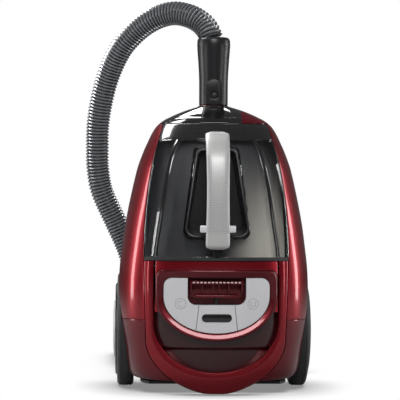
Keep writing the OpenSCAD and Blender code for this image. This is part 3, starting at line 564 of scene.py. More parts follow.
def laid(across, up, place):
    """A grid of across by up faces, whose points go to place(u, v)."""
    deselect()
    bpy.ops.mesh.primitive_grid_add(x_subdivisions=across, y_subdivisions=up, size=2)
    obj = bpy.context.object
    for vertex in obj.data.vertices:
        vertex.co = place((vertex.co.x + 1) / 2, (vertex.co.y + 1) / 2)
    obj.data.update()
    return obj


def thicken(obj, wall):
    """Gives a sheet a wall inwards."""
    solid = obj.modifiers.new("wall", "SOLIDIFY")
    solid.thickness, solid.offset = wall, -1
    apply_modifiers(obj)
    return obj


def sheet_on_form(across, up, place, wall=0.003, outward=None):
    """A laid grid with its wall but with sharp edges, ready to be cut."""
    obj = laid(across, up, place)
    middle = obj.data.polygons[len(obj.data.polygons) // 2]
    if middle.normal.dot(outward or Vector((middle.center.x, middle.center.y, 0))) < 0:
        edit_all(obj, bpy.ops.mesh.flip_normals)
    return thicken(obj, wall)


def spun(profile, axis, centre, steps=64):
    """A turned solid: profile is a list of (radius, height) along axis from centre."""
    deselect()
    bpy.ops.mesh.primitive_plane_add(size=1)
    obj = bpy.context.object
    bm = bmesh.new()
    line = [bm.verts.new((r, 0, h)) for r, h in profile]
    for a, b in zip(line, line[1:]):
        bm.edges.new((a, b))
    bm.to_mesh(obj.data)
    bm.free()

    def turn_round():
        bpy.ops.mesh.spin(steps=steps, angle=2 * math.pi, center=(0, 0, 0), axis=(0, 0, 1))

    edit_all(obj, turn_round, weld, turn_out)
    obj.rotation_euler = Vector(axis).to_track_quat("Z", "Y").to_euler()
    obj.location = centre
    settle(obj)
    bpy.ops.object.shade_smooth_by_angle(angle=math.radians(35))
    return obj


def rounded_block(size, centre, edge=0.001, segments=3):
    """A block with eased edges, a start for small moulded pieces."""
    deselect()
    bpy.ops.mesh.primitive_cube_add(size=1, location=centre)
    obj = bpy.context.object
    obj.scale = size
    settle(obj)
    return ease(obj, edge, segments)


def join(pieces):
    """Joins pieces into the first one."""
    activate(pieces[0])
    for piece in pieces:
        piece.select_set(True)
    bpy.ops.object.join()
    return bpy.context.object


def around(count):
    """The angles of a full turn in equal steps, in radians."""
    return [2 * math.pi * j / count for j in range(count)]


def lofted(rings, smooth_angle=45):
    """A closed solid through rings of points, all with the same count."""
    bm = bmesh.new()
    loops = [[bm.verts.new(p) for p in ring] for ring in rings]
    sides = len(loops[0])
    for a, b in zip(loops, loops[1:]):
        for j in range(sides):
            bm.faces.new((a[j], a[(j + 1) % sides], b[(j + 1) % sides], b[j]))
    bm.faces.new(loops[0][::-1])
    bm.faces.new(loops[-1])
    bmesh.ops.recalc_face_normals(bm, faces=bm.faces)
    mesh = bpy.data.meshes.new("loft")
    bm.to_mesh(mesh)
    bm.free()
    obj = bpy.data.objects.new("loft", mesh)
    scene.collection.objects.link(obj)
    activate(obj)
    bpy.ops.object.shade_smooth_by_angle(angle=math.radians(smooth_angle))
    return obj


# %% [markdown]
# ## The hose
# A vacuum hose is a thin wall wound into ribs, so that it bends without
# closing. It is fixed stuff of a fixed length: it leaves the connector, bows
# over, drops behind the left side and lies on the floor behind the machine in
# one long bend, back to its handgrip. The route is the one that the CAD tube
# follows, in metres. The tube is swept along it, and its radius goes up and
# down once for every rib.

# %% Route of the hose
hose_radius = 0.018
rib_pitch = 0.005
ROUTE = [(-4, 20, 517), (-8, 22, 527), (-16, 27, 538), (-28, 33, 547), (-42, 41, 553), (-58, 50, 556),
         (-77, 60, 553), (-97, 70, 544), (-117, 81, 529), (-138, 93, 505), (-155, 107, 470),
         (-166, 118, 431), (-172, 127, 393), (-173, 134, 354), (-172, 139, 323), (-165, 143, 288),
         (-143, 148, 240), (-125, 152, 200), (-113, 157, 160), (-106, 166, 122), (-103, 181, 86),
         (-103, 204, 55), (-105, 237, 31), (-110, 276, 19), (-118, 326, 18), (-125, 380, 18),
         (-129, 440, 18), (-130, 500, 18), (-130, 560, 18), (-116, 612, 18), (-78, 651, 18),
         (-25, 665, 18), (28, 651, 18), (66, 612, 18), (80, 560, 18), (80, 520, 18), (80, 490, 20),
         (80, 465, 22)]


def smooth_route(points, step):
    """Points every step metres along the smooth curve through the given ones."""
    p = [Vector(q) / 1000 for q in points]
    fine = []
    for i in range(len(p) - 1):
        a, b, c, d = p[max(i - 1, 0)], p[i], p[i + 1], p[min(i + 2, len(p) - 1)]
        for k in range(40):
            t = k / 40
            fine.append(0.5 * (2 * b + (c - a) * t + (2 * a - 5 * b + 4 * c - d) * t * t
                               + (-a + 3 * b - 3 * c + d) * t ** 3))
    fine.append(p[-1])
    along = np.concatenate([[0], np.cumsum([(b - a).length for a, b in zip(fine, fine[1:])])])
    marks = np.linspace(0, along[-1], int(round(along[-1] / step)) + 1)
    xyz = np.array([tuple(q) for q in fine])
    return [Vector([float(np.interp(m, along, xyz[:, k])) for k in range(3)]) for m in marks], along[-1]


rings_per_rib = 4
route, route_length = smooth_route(ROUTE, rib_pitch / rings_per_rib)
print("hose", round(route_length, 3), "m,", len(route), "rings")


# %% Sweep the ribbed tube
# Crest, shoulder, root, shoulder: one rib every four rings
RIB_DEPTHS = (0.0, 0.0013, 0.003, 0.0013)
hose_sides = 28
upright = Vector((0, 1, 0))
hose_rings = []
for k, point in enumerate(route):
    ahead = (route[min(k + 1, len(route) - 1)] - route[max(k - 1, 0)]).normalized()
    upright = (upright - upright.dot(ahead) * ahead).normalized()
    other = ahead.cross(upright)
    r = hose_radius - RIB_DEPTHS[k % rings_per_rib]
    hose_rings.append([point + r * (math.cos(a) * upright + math.sin(a) * other)
                       for a in around(hose_sides)])
tube = lofted(hose_rings, 60)
# Each point keeps its depth in the rib, so that the finish can paint the valleys dark: painted shade
# between the ribs.
depth = tube.data.attributes.new("valley_painted_shade", "FLOAT", "POINT")
for i, item in enumerate(depth.data):
    item.value = RIB_DEPTHS[i // hose_sides % rings_per_rib] / max(RIB_DEPTHS)

hose_plastic = finish("hose_plastic", (0.32, 0.325, 0.34), rough=0.3, metal=0.35, grain=(1500, 0.04, 0.06),
                      worn=(0.16, 0.16, 0.17), coat=0.5, coat_rough=0.12)
# Painted shade: the valleys between the ribs go nearly black, and the crests keep the pale grey.
valley_painted_shade = add_node(hose_plastic.node_tree, "Attribute", attribute_name="valley_painted_shade")
colour_by(hose_plastic, valley_painted_shade.outputs["Fac"], (0.32, 0.33, 0.35), (0.012, 0.012, 0.014))
hose = named("hose_tube", "casing", hose_plastic, ["hose"])

# %% [markdown]
# ## Finishes of the CAD pieces
# The pieces whose CAD shape is right keep it and only get a finish. The record
# names a material slot for each, so one table of slots dresses them all.

# %% Dress the CAD pieces
SLOT_FINISH = {"red": red, "dark_red": deep_red, "gloss_black": gloss_black, "black": moulded_black,
               "smoked": smoked, "silver": silver, "rubber": rubber, "tyre": rubber, "metal": steel,
               "motor": motor_metal, "beige": beige, "filter": paper, "board": board,
               "hose": hose_plastic}
for part in frame["record"]["subparts"]:
    node = frame["nodes"][part["node"]]
    node.data.materials.clear()
    node.data.materials.append(SLOT_FINISH[part["material_slot"]])
for spring in ("control_springs", "trigger_spring"):
    frame["nodes"][spring].data.materials[0] = moulded_black

# %% [markdown]
# ## Outlines on the front
# The control panel, its bezel, the scoop and the bumper are drawn as outlines in
# X and Z, like the sketches on a drawing. Each outline is a function of an inset,
# so that a gap or a border is the same outline drawn again, a little smaller.

# %% Outlines as functions
SIDES = ((1, "right"), (-1, "left"))
gap = 0.0005
split_gap = 0.0008
bezel_border = 0.011
panel_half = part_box("control_bezel")[1].x
panel_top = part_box("control_bezel")[1].z
panel_mid = panel_top - 0.038
panel_low = panel_mid - 0.063
bumper_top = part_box("tail_bumper")[1].z
bumper_half = band_at(bumper_top)
scoop_half, scoop_mid, scoop_low = 0.087, 0.104, 0.032
pocket_half, pocket_low = 0.041, 0.129
wheel_middle = (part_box("tyre_right")[0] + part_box("tyre_right")[1]) / 2
wheel_radius = (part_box("tyre_right")[1].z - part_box("tyre_right")[0].z) / 2
arch_gap = 0.004


def arc(x, z, rx, rz, start, end, count):
    angles = [math.radians(start + (end - start) * i / count) for i in range(count + 1)]
    return [(x + rx * math.cos(a), z + rz * math.sin(a)) for a in angles]


def line(a, b, count):
    """Points between a and b, without the ends."""
    return [(a[0] + (b[0] - a[0]) * i / count, a[1] + (b[1] - a[1]) * i / count) for i in range(1, count)]


def control_outline(inset, corner=0.012):
    """Square shoulders above and half an ellipse below, from the right shoulder round."""
    w, top = panel_half - inset, panel_top - inset
    right = arc(w - corner, top - corner, corner, corner, 0, 90, 8)
    left = arc(-w + corner, top - corner, corner, corner, 90, 180, 8)
    bowl = arc(0, panel_mid, w, panel_mid - panel_low - inset, 180, 360, 48)
    return (right + line(right[-1], left[0], 16) + left + line(left[-1], bowl[0], 4) + bowl
            + line(bowl[-1], right[0], 4))


def pocket_outline(inset, top, corner=0.012):
    w, foot = pocket_half - inset, pocket_low + inset
    return ([(w, top), (-w, top)] + arc(-w + corner, foot + corner, corner, corner, 180, 270, 8)
            + arc(w - corner, foot + corner, corner, corner, 270, 360, 8))


def centre_outline(inset):
    """The piece between the two buttons, whose split lines lean outwards."""
    return [(-0.025 + inset, pocket_low - 0.001), (0.025 - inset, pocket_low - 0.001),
            (0.033 - inset, panel_low - 0.02), (-0.033 + inset, panel_low - 0.02)]


def scoop_outline(inset):
    return ([(-scoop_half + inset, 0.118), (scoop_half - inset, 0.118)]
            + arc(0, scoop_mid, scoop_half - inset, scoop_mid - scoop_low - inset, 0, -180, 48))


def bumper_outline(count, power=1.8):
    """The lower half of a squashed ellipse, from the left end round to the right."""
    points = []
    for i in range(count + 1):
        a = math.pi + math.pi * i / count
        points.append((bumper_half * signed_power(math.cos(a), 2 / power),
                       bumper_top - bumper_top * abs(math.sin(a)) ** (2 / power)))
    return points


def bumper_at(z):
    """Half width of the bumper's outer line at height z."""
    share = max(0, bumper_top - z) / bumper_top
    return bumper_half * max(0, 1 - share ** 1.8) ** (1 / 1.8)


# %% Helpers for cutting
def prism(points, near, far):
    """A solid of an outline in X and Z between two depths along Y."""
    deselect()
    bpy.ops.mesh.primitive_circle_add(vertices=len(points), radius=1, fill_type="NGON")
    obj = bpy.context.object
    for vertex, (x, z) in zip(obj.data.vertices, points):
        vertex.co = (x, near, z)

    def extrude():
        bpy.ops.mesh.extrude_region_move(TRANSFORM_OT_translate={"value": (0, far - near, 0)})

    return edit_all(obj, extrude, weld, turn_out)


def wheel_cutter(side):
    """A cylinder of the wheel arch on one side."""
    deselect()
    bpy.ops.mesh.primitive_cylinder_add(
        vertices=128, radius=wheel_radius + arch_gap, depth=0.1, rotation=(0, math.pi / 2, 0),
        location=(side * (wheel_middle.x + 0.03), wheel_middle.y, wheel_middle.z))
    return settle(bpy.context.object)


def cut(obj, cutter, operation="DIFFERENCE"):
    """Cuts obj with a cutter, or keeps what they share, and drops the cutter."""
    activate(obj)
    boolean = obj.modifiers.new("cut", "BOOLEAN")
    boolean.object, boolean.operation, boolean.solver = cutter, operation, "EXACT"
    bpy.ops.object.modifier_apply(modifier=boolean.name)
    bpy.data.objects.remove(cutter)
    return obj


cut_near, cut_far = -0.14, -0.03
FORWARD = Vector((0, -1, 0))


def cut_outline(obj, points, operation="DIFFERENCE"):
    """Cuts obj from the front with an outline, right through the crown side."""
    return cut(obj, prism(points, cut_near, cut_far), operation)


# %% [markdown]
# ## Side bands
# The red bands run from the nose down both flanks. Each is one sheet laid on the
# form, from the inner edge round to the parting line of the belly, and the wheel
# arch is bored out of it.

# %% Flanks and lower corners
def side_sheet(side, z0, z1, inner, across, up):
    def place(u, v):
        z = z0 + (z1 - z0) * v
        start = angle_of(z, inner(z) + gap)
        point = skin(z, start * (1 - u))
        return Vector((side * point.x, point.y, z))
    obj = sheet_on_form(across, up, place)
    cut(obj, wheel_cutter(side))
    return ease(obj, 0.0009, 3)


def corner_edge(z):
    return bumper_at(z) if z < bumper_top else band_at(z)


for side, word in SIDES:
    side_sheet(side, corner_top, lid_top, band_at, 28, 90)
    named("band_" + word, "casing", red, ["flank_" + word])
    # The lower corners take the darker copy of the lacquer, which paints the shade on the flank's lower
    # facet.
    side_sheet(side, 0.02, corner_top - gap, corner_edge, 28, 36)
    named("lower_corner_" + word, "casing", deep_red, ["corner_" + word])

# %% [markdown]
# ## Housing under the container
# The red housing is one sheet across the front between two grooves, which carry
# on from the stripes of the container. The openings of the control panel and of
# the scoop are cut through it, and its edges are eased so that they catch light.

# %% Housing
groove_width = 0.0022


def housing_place(u, v):
    z = 0.1 + (seam - 0.1) * v
    return front((groove_at(z) - groove_width / 2) * (2 * u - 1), z)


housing = sheet_on_form(160, 60, housing_place, outward=FORWARD)
cut_outline(housing, control_outline(-gap))
cut_outline(housing, scoop_outline(-gap))
ease(housing, 0.0009, 3)
named("housing", "casing", red, ["rear_cover"])

# %% [markdown]
# ## Bezel, scoop and bumper
# These three are rings or strips between two outlines. A strip is laid from its
# outer line to its inner one, and a profile across it says how high it stands.
# The tail frame is the longest: it comes down outside both grooves and bows round
# the tail as a bumper, with a fine joint on each side where it is clipped on.

# %% Strips between two outlines
def strip(outer, inner, profile, closed, wall):
    """A strip whose cross profile is a list of (share of the width, depth under the form)."""
    count = len(outer)
    faces = count if closed else count - 1

    def place(u, v):
        i = int(round(u * faces)) % count
        share, off = profile[int(round(v * (len(profile) - 1)))]
        x = outer[i][0] + (inner[i][0] - outer[i][0]) * share
        z = outer[i][1] + (inner[i][1] - outer[i][1]) * share
        return front(x, max(z, 0.0015), off)

    obj = edit_all(laid(faces, len(profile) - 1, place), weld, turn_out)
    if sum(p.normal.dot(FORWARD) * p.area for p in obj.data.polygons) < 0:
        obj.data.flip_normals()
    if wall:
        thicken(obj, wall)
    bpy.ops.object.shade_smooth_by_angle(angle=math.radians(50))
    return obj


BEZEL_PROFILE = [(0, 0.004), (0, 0.0004), (0.05, -0.0006), (0.15, -0.0012), (0.3, -0.001),
                 (0.5, 0.0002), (0.75, 0.0016), (0.92, 0.0024), (1, 0.0036), (1, 0.012)]
bezel_ring = strip(control_outline(0), control_outline(bezel_border), BEZEL_PROFILE, closed=True, wall=0)
tray_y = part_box("container_latch")[1].y + 0.001
tray = prism(control_outline(0.002), tray_y, tray_y + 0.003)
join([bezel_ring, tray])
named("bezel", "casing", deep_red, ["control_bezel"])

scoop_top = 0.124
scoop_step = 0.066


def scoop_place(u, v):
    z = scoop_low - 0.006 + (scoop_top - scoop_low + 0.006) * v
    x = (scoop_half + 0.004) * (2 * u - 1)
    step = 1 / (1 + math.exp(-(z - scoop_step) / 0.0006))
    return front(x, z, 0.0135 - 0.0045 * step)


scoop = sheet_on_form(90, 90, scoop_place, outward=FORWARD)
cut_outline(scoop, control_outline(0.0015))
bpy.ops.object.shade_smooth_by_angle(angle=math.radians(50))
named("scoop", "casing", dark_red, ["scoop_panel"])

heights = [seam - (seam - bumper_top) * i / 40 for i in range(40)]
outer_arm = [(band_at(z) - gap / 2, z) for z in heights]
outer_bow = [(-x, z) for x, z in bumper_outline(96)]
outer = outer_arm + outer_bow + [(-x, z) for x, z in reversed(outer_arm)]
inner_arm = [(groove_at(z) + groove_width / 2, seam - (seam - scoop_mid) * i / 40)
             for i, z in enumerate(heights)]
inner_bow = arc(0, scoop_mid, inner_arm[-1][0], scoop_mid - scoop_low, 0, -180, 96)
inner = inner_arm + inner_bow + [(-x, z) for x, z in reversed(inner_arm)]
FRAME_PROFILE = [(0, 0.02), (0, 0.003), (0.02, 0.0012), (0.06, 0.0003), (0.15, 0), (0.4, 0), (0.65, 0.0003),
                 (0.8, 0.0011), (0.88, 0.0022), (0.92, 0.0024), (0.95, 0.0019), (0.98, 0.0026), (1, 0.005),
                 (1, 0.02)]
joint = len(heights) + 26
lengths = []
for first, last in ((0, joint), (joint, len(outer) - 1 - joint), (len(outer) - 1 - joint, len(outer) - 1)):
    length = strip(outer[first:last + 1], inner[first:last + 1], FRAME_PROFILE, closed=False, wall=0.002)
    lengths.append(ease(length, 0.0004, 2, 60))
join(lengths)
named("tail_frame", "casing", red, ["tail_bumper"])

# %% [markdown]
# ## Belly
# The belly shell is the black half of the casing. It is laid like the bands,
# from one parting line round to the other, with shallow ribs for stiffness.

# %% Belly shell
belly_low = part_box("chassis")[0].z


def belly_place(u, v):
    z = belly_low + (lid_top - belly_low) * v
    rib = 0.0012 * max(0, math.cos(2 * math.pi * z / 0.024)) ** 8 * (1 if 0.25 < u < 0.75 else 0)
    return skin(z, 180 + 180 * u, rib)


belly = sheet_on_form(90, 150, belly_place, outward=Vector((0, 1, 0)))
for side in (1, -1):
    cut(belly, wheel_cutter(side))
ease(belly, 0.0008, 2)
named("belly_shell", "casing", moulded_black, ["chassis"])

# %% [markdown]
# ## Nose
# The dome that closes the casing is lofted through the form's own sections, drawn in
# to a point under the socket. A fine step runs round it where two mouldings meet.

# %% Dome
socket = (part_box("socket_collar")[0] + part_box("socket_collar")[1]) / 2
dome_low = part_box("nose_cover")[0].z
dome_angles = [360 * j / 120 for j in range(120)]
dome_rings = [[skin(dome_low, a, 0.003) for a in dome_angles],
              [skin(dome_low + 0.0002, a, 0.0008) for a in dome_angles]]
for i in range(33):
    z = dome_low + 0.0008 + (body_length - 0.0012 - dome_low) * (i / 32) ** 0.9
    step = 0.0007 / (1 + math.exp(-(z - dome_low - 0.0085) / 0.00025))
    dome_rings.append([skin(z, a, step) for a in dome_angles])
top_ring = dome_rings[-1]
for share in (0.7, 0.3, 0.02):
    dome_rings.append([Vector((socket.x + (p.x - socket.x) * share, socket.y + (p.y - socket.y) * share,
                               p.z + 0.0008 * (1 - share))) for p in top_ring])
lofted(dome_rings, 60)
named("dome", "casing", dome_finish, ["nose_cover"])

# Collar of the socket
collar_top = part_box("socket_collar")[1].z
spun([(0.0176, -0.02), (0.0176, 0.0), (0.0185, 0.0006), (0.0215, 0.0006), (0.0235, -0.0008),
      (0.0245, -0.0035), (0.0262, -0.008), (0.0262, -0.02), (0.0176, -0.02)], (0, 0, 1),
     (socket.x, socket.y, collar_top))
named("collar", "casing", deep_red, ["socket_collar"])

# %% [markdown]
# ## Dust container
# The container is a clear smoked shell with two gloss black ribs down it. Behind
# the shell stands an inner wall of the pale cyclone side, with painted shade that
# darkens it to the left and towards the top. The lid closes it in gloss black.

# %% Container
bin_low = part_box("dust_container")[0].z
bin_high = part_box("dust_container")[1].z
well_low, well_high = 0.224, 0.35


def well_outline(inset):
    return (arc(-0.033 + inset, well_low + 0.012 + inset, 0.012, 0.012, 180, 270, 8)
            + line((-0.033 + inset, well_low + inset), (0.033 - inset, well_low + inset), 16)
            + arc(0.033 - inset, well_low + 0.012 + inset, 0.012, 0.012, 270, 360, 8)
            + arc(0.022 - inset, well_high - 0.008 - inset, 0.008, 0.008, 0, 90, 8)
            + arc(-0.022 + inset, well_high - 0.008 - inset, 0.008, 0.008, 90, 180, 8))


def front_sheet(z0, z1, margin, across, up, wall, off=0.0):
    def place(u, v):
        z = z0 + (z1 - z0) * v
        return front((band_at(z) - margin) * (2 * u - 1), z, off)
    return sheet_on_form(across, up, place, wall, FORWARD)


shell = front_sheet(bin_low, bin_high, 0.0001, 90, 90, 0.0025)
cut_outline(shell, well_outline(-gap))
ease(shell, 0.0006, 2)
named("container_shell", "container", smoked, ["dust_container"])

liner = front_sheet(bin_low + 0.001, bin_high, 0.004, 60, 60, 0.002, off=0.016)
cut_outline(liner, well_outline(-0.003))
named("container_inner_wall", "container", inner_wall)

side_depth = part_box("dust_container")[1].y
for side, word in SIDES:
    def wall_place(u, v, side=side):
        z = bin_low + (bin_high - bin_low) * v
        edge = front(band_at(z) - 0.0002, z, 0.002)
        return Vector((side * edge.x, edge.y + (side_depth - edge.y) * u, z))
    sheet_on_form(12, 40, wall_place, 0.002, Vector((side, 0, 0)))
    named("container_side_" + word, "container", smoked)

    def rib_place(u, v, side=side):
        z = bin_low + 0.0005 + (bin_high - bin_low - 0.0005) * v
        lift = 0.0007 * math.sin(math.pi * u)
        return front(side * (groove_at(z) + 0.0028 * (2 * u - 1)), z, -0.0002 - lift)
    sheet_on_form(8, 70, rib_place, 0.0016, FORWARD)
    bpy.ops.object.shade_smooth_by_angle(angle=math.radians(50))
    named("container_rib_" + word, "container", gloss_black)

lid = front_sheet(lid_low, lid_top, 0.0001, 90, 20, 0.003)
ease(lid, 0.0009, 3)
named("lid", "container", gloss_black, ["container_lid"])

# %% [markdown]
# ## Well and handle
# The well for the fingers is a deep tray with a rounded rim. The handle is a
# loft whose section is a soft rectangle. It arches over the well, and its grip
# has a fine pattern of dots that only the material carries.

# %% Finger well
WELL_PROFILE = [(0.0, 0.0003), (0.001, 0.0), (0.0022, 0.0004), (0.003, 0.0016)]
well_floor = -0.068
well_rings = []
for inset, off in WELL_PROFILE:
    well_rings.append([front(x, z, off) for x, z in well_outline(inset)])
for share in (0.25, 0.5, 0.75, 0.95, 1.0):
    inset = 0.003 + 0.004 * share
    well_rings.append([Vector((x, front(x, z).y * (1 - share) + well_floor * share, z))
                       for x, z in well_outline(inset)])
for inset in (0.009, 0.014):
    well_rings.append([Vector((x, well_floor, z)) for x, z in well_outline(inset)])
outside = [[Vector((x, well_floor + 0.003, z)) for x, z in well_outline(0.012)],
           [Vector((x, well_floor + 0.003, z)) for x, z in well_outline(0.001)],
           [front(x, z, 0.004) for x, z in well_outline(0.0)]]
lofted(outside + well_rings, 50)
named("finger_tray", "container", satin_black, ["finger_well"])

# %% Carry handle
handle_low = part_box("carry_handle")[0].z
handle_high = lid_top - 0.013
handle_half = 0.017
handle_reach = -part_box("carry_handle")[0].y
GRIP = [(0, 0.945), (0.15, 0.975), (0.45, 1), (0.75, 0.955), (0.9, 0.845), (1, 0.7)]


def grip_section(z, half, depth, y, power=3.2, count=40):
    """A soft rectangle at height z, whose front is at y."""
    return [Vector((half * signed_power(math.cos(a), 2 / power),
                    y + depth / 2 - depth / 2 * signed_power(math.sin(a), 2 / power), z))
            for a in around(count)]


handle_rings = []
for i in range(61):
    u = i / 60
    z = handle_low + (handle_high - handle_low) * u
    end = min(1, (z - handle_low) / 0.007, (handle_high - z) / 0.006)
    rounding = math.sqrt(max(0.0, 1 - (1 - end) ** 2))
    flare = 0.0006 * math.cos(2 * math.pi * u)
    half = (handle_half - 0.0006 + flare) * max(rounding, 0.15) ** 0.35
    y = -handle_reach * smooth(u, GRIP)
    fullness = max(0.2, rounding)
    handle_rings.append(grip_section(z, half, 0.015 * fullness, y + 0.0075 * (1 - fullness)))
grip_solid = lofted(handle_rings, 60)
neck_z = handle_high - 0.0095
neck_rings = []
for i in range(9):
    y = -0.1 + 0.06 * i / 8
    neck_rings.append([Vector((0.0135 * signed_power(math.cos(a), 0.6), y,
                               neck_z + 0.0055 * signed_power(math.sin(a), 0.6))) for a in around(40)])
neck = lofted(neck_rings, 60)
join([grip_solid, neck])
named("handle_grip", "container", handle_finish, ["carry_handle"])

rounded_block((0.02, 0.014, 0.011), (0, -0.1165, handle_low + 0.0075), 0.002)
named("handle_foot", "container", gloss_black)
spun([(0, 0.001), (0.0052, 0.001), (0.006, 0), (0.006, -0.008), (0, -0.008)], (0, -1, 0),
     (0, -crown_reach, 0.2015))
named("base_catch", "container", gloss_black)
trigger_low, trigger_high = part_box("empty_trigger")
rounded_block(trigger_high - trigger_low, (trigger_low + trigger_high) / 2, 0.0016)
named("trigger_bar", "trigger", silver, ["empty_trigger"])

# %% [markdown]
# ## Controls
# The two buttons and the centre piece are cut from one sheet that follows the
# form. The cuts leave the split lines, and the eased edges catch the light.

# %% Buttons and centre piece
def control_block(side):
    """One part of the silver U: side is 1, -1 or 0 for the centre."""
    def place(u, v):
        z = panel_low + 0.006 + (panel_top - 0.005 - panel_low) * v
        x = 0.076 * (2 * u - 1)
        return front(x, z, 0.0012)
    block = sheet_on_form(80, 60, place, 0.012, FORWARD)
    cut_outline(block, control_outline(bezel_border + gap), "INTERSECT")
    cut_outline(block, pocket_outline(-gap, panel_top + 0.02))
    if side:
        cut_outline(block, centre_outline(-split_gap))
        cut_outline(block, [(0, 0.3), (0, 0.0), (-side * 0.2, 0.0), (-side * 0.2, 0.3)])
    else:
        cut_outline(block, centre_outline(0), "INTERSECT")
        cut(block, prism(pill_outline(-0.0004), -0.14, -0.1005))
    return ease(block, 0.0009, 3)


def pill_outline(inset):
    r = 0.0055 - inset
    return arc(0.0155, lens_middle.z, r, r, -90, 90, 14) + arc(-0.0155, lens_middle.z, r, r, 90, 270, 14)


lens_middle = (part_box("indicator_lens")[0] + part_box("indicator_lens")[1]) / 2
control_block(1)
named("button_right", "power", silver, ["power_button"])
control_block(-1)
named("button_left", "rewind", silver, ["rewind_button"])
control_block(0)
named("centre_piece", "casing", silver, ["centre_panel"])

ease(prism(pill_outline(0), front(0, lens_middle.z).y + 0.0022, -0.1), 0.0008, 3)
named("pill_lens", "casing", gloss_black, ["indicator_lens"])


# %% Signs on the buttons
def ring_sign(x, z, radius, start, end, body, name):
    """A thin raised arc that follows the button's surface."""
    rings = []
    for i in range(41):
        a = math.radians(start + (end - start) * i / 40)
        out = Vector((math.cos(a), 0, math.sin(a)))
        base = front(x + radius * out.x, z + radius * out.z, 0.0012)
        rings.append([base + out * 0.00035 * math.cos(b) + FORWARD * 0.00025 * math.sin(b)
                      for b in around(8)])
    lofted(rings, 60)
    return named(name, body, sign_grey)


sign_x = 0.0513
sign_z = 0.1303
ring_sign(sign_x, sign_z, 0.0075, 0, 359, "power", "sign_ring_right")
ring_sign(sign_x, sign_z, 0.0038, 120, 420, "power", "sign_inner_right")
ring_sign(-sign_x, sign_z, 0.0075, 0, 359, "rewind", "sign_ring_left")
ring_sign(-sign_x, sign_z, 0.0038, 40, 300, "rewind", "sign_inner_left")

# %% [markdown]
# ## Latch
# The latch sits deep in the pocket: a dark red frame with upright ribs for the
# finger and a row of fine teeth along its upper edge, whose pale pink is a painted
# highlight.

# %% Container latch
latch_low, latch_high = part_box("container_latch")
latch_half = latch_high.x
latch_front = latch_low.y + 0.0025
frame_mid = (latch_low.z + latch_high.z) / 2
latch_tall = latch_high.z - latch_low.z
# Width, depth and height of each block, its X, its depth behind the front, its Z and its edge
BLOCKS = [(2 * latch_half, 0.003, latch_tall, 0, 0.0125, frame_mid, 0.0006),
          (2 * latch_half, 0.014, 0.006, 0, 0.007, latch_high.z - 0.003, 0.001),
          (2 * latch_half - 0.012, 0.014, 0.004, 0, 0.007, latch_low.z + 0.002, 0.001)]
BLOCKS += [(0.003, 0.014, latch_tall - 0.012, side * (latch_half - 0.0015), 0.007, frame_mid + 0.002, 0.001)
           for side in (1, -1)]
BLOCKS += [(0.0022, 0.01, latch_tall - 0.012, x, 0.008, frame_mid, 0.0007)
           for x in (-0.0205, -0.005, 0.0035, 0.0175)]
pieces = [rounded_block((wide, deep, tall), (x, latch_front + back, z), edge)
          for wide, deep, tall, x, back, z, edge in BLOCKS]
join(pieces)
named("latch_frame", "latch", deep_red, ["container_latch"])
tooth_pitch = 0.0054
teeth = [rounded_block((0.0034, 0.0026, 0.002),
                       (tooth_pitch * i, latch_front - 0.0006, latch_high.z - 0.003), 0.0004, 1)
         for i in range(-6, 7)]
join(teeth)
named("latch_teeth", "latch", tooth_painted_highlight)

# %% [markdown]
# ## Connector and wheels
# These are turned pieces. Each is a profile, spun about its own axis.

# %% Connector
connector_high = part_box("hose_connector")[1].z
tube_height = connector_high - collar_top
spun([(0.015, -0.026), (0.0172, -0.026), (0.0172, 0.0008), (0.0206, 0.0012), (0.0212, 0.002),
      (0.0213, 0.036), (0.0218, 0.05), (0.0228, 0.066), (0.0239, 0.08), (0.0245, tube_height - 0.012),
      (0.0243, tube_height - 0.005), (0.0232, tube_height - 0.0018), (0.021, tube_height - 0.0002),
      (0.0186, tube_height), (0.0183, tube_height - 0.0015), (0.0182, tube_height - 0.012),
      (0.015, tube_height - 0.014), (0.015, -0.026)], (0, 0, 1), (socket.x, socket.y, collar_top), 96)
sleeve = named("connector_sleeve", "casing", satin_black, ["hose_connector"])


def snap_outline(inset):
    w = 0.0125 - inset
    return ([(-w, collar_top + 0.001 + inset), (w, collar_top + 0.001 + inset)]
            + arc(0, collar_top + 0.0265, w, w, 0, 180, 24))


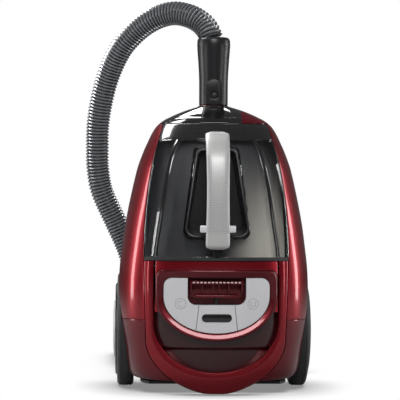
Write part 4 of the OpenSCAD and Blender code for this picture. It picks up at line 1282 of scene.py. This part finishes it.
socket_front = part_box("hose_connector")[0].y
plate = prism(snap_outline(0), socket_front + 0.0012, 0.004)
snap_low, snap_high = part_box("connector_button")
cut(plate, prism(arc(0, snap_low.z + 0.0045, 0.0052, 0.0052, 0, 345, 23), -0.02, 0.003))
ease(plate, 0.0012, 3)
named("connector_plate", "casing", satin_black)
spun([(0, 0.0001), (0.003, 0), (0.004, -0.0005), (0.0045, -0.0014), (0.0045, -0.004), (0, -0.004)],
     (0, -1, 0), ((snap_low.x + snap_high.x) / 2, snap_low.y, (snap_low.z + snap_high.z) / 2), 48)
named("snap_cap", "connector_snap", moulded_black, ["connector_button"])

# %% Wheels
rim = wheel_radius - 0.016
wheel_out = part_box("hubcap_right")[1].x
hub_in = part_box("wheel_right")[0].x
deep = wheel_out - hub_in
lip = wheel_radius - 0.0008
TYRE = [(rim, 0.003), (wheel_radius - 0.005, 0.003), (wheel_radius - 0.0015, 0.0045),
        (wheel_radius, 0.0075), (wheel_radius, 0.0095), (lip, 0.01), (lip, 0.0108),
        (wheel_radius, 0.0113), (wheel_radius, deep - 0.0135), (lip, deep - 0.013),
        (lip, deep - 0.0122), (wheel_radius, deep - 0.0117), (wheel_radius - 0.0006, deep - 0.0095),
        (wheel_radius - 0.003, deep - 0.0075), (wheel_radius - 0.0055, deep - 0.0068),
        (rim, deep - 0.0062), (rim, 0.003)]
DISC = [(0.0065, 0.0), (0.016, 0.0), (0.016, 0.01), (rim - 0.005, 0.01), (rim - 0.005, 0.002), (rim, 0.002),
        (rim, deep - 0.0055), (rim - 0.002, deep - 0.004), (rim - 0.006, deep - 0.0036),
        (rim - 0.009, deep - 0.0046), (rim - 0.012, deep - 0.0072), (rim - 0.017, deep - 0.0075),
        (0.047, deep - 0.005), (0.043, deep - 0.0042), (0.0425, deep - 0.0075), (0.0065, deep - 0.0075),
        (0.0065, 0.0)]
CAP = [(0, deep - 0.0065), (0.0415, deep - 0.0065), (0.042, deep - 0.0025), (0.0405, deep - 0.0012),
       (0.038, deep - 0.001), (0.0365, deep - 0.0018), (0.035, deep - 0.0016), (0.03, deep - 0.0004),
       (0.016, deep), (0, deep)]
for side, word in SIDES:
    middle = (side * hub_in, wheel_middle.y, wheel_middle.z)
    body = word + "_wheel"
    spun(TYRE, (side, 0, 0), middle, 128)
    named("tread_" + word, body, rubber, ["tyre_" + word])
    spun(DISC, (side, 0, 0), middle, 128)
    named("disc_" + word, body, satin_black, ["wheel_" + word])
    spun(CAP, (side, 0, 0), middle, 128)
    named("cap_" + word, body, silver, ["hubcap_" + word])
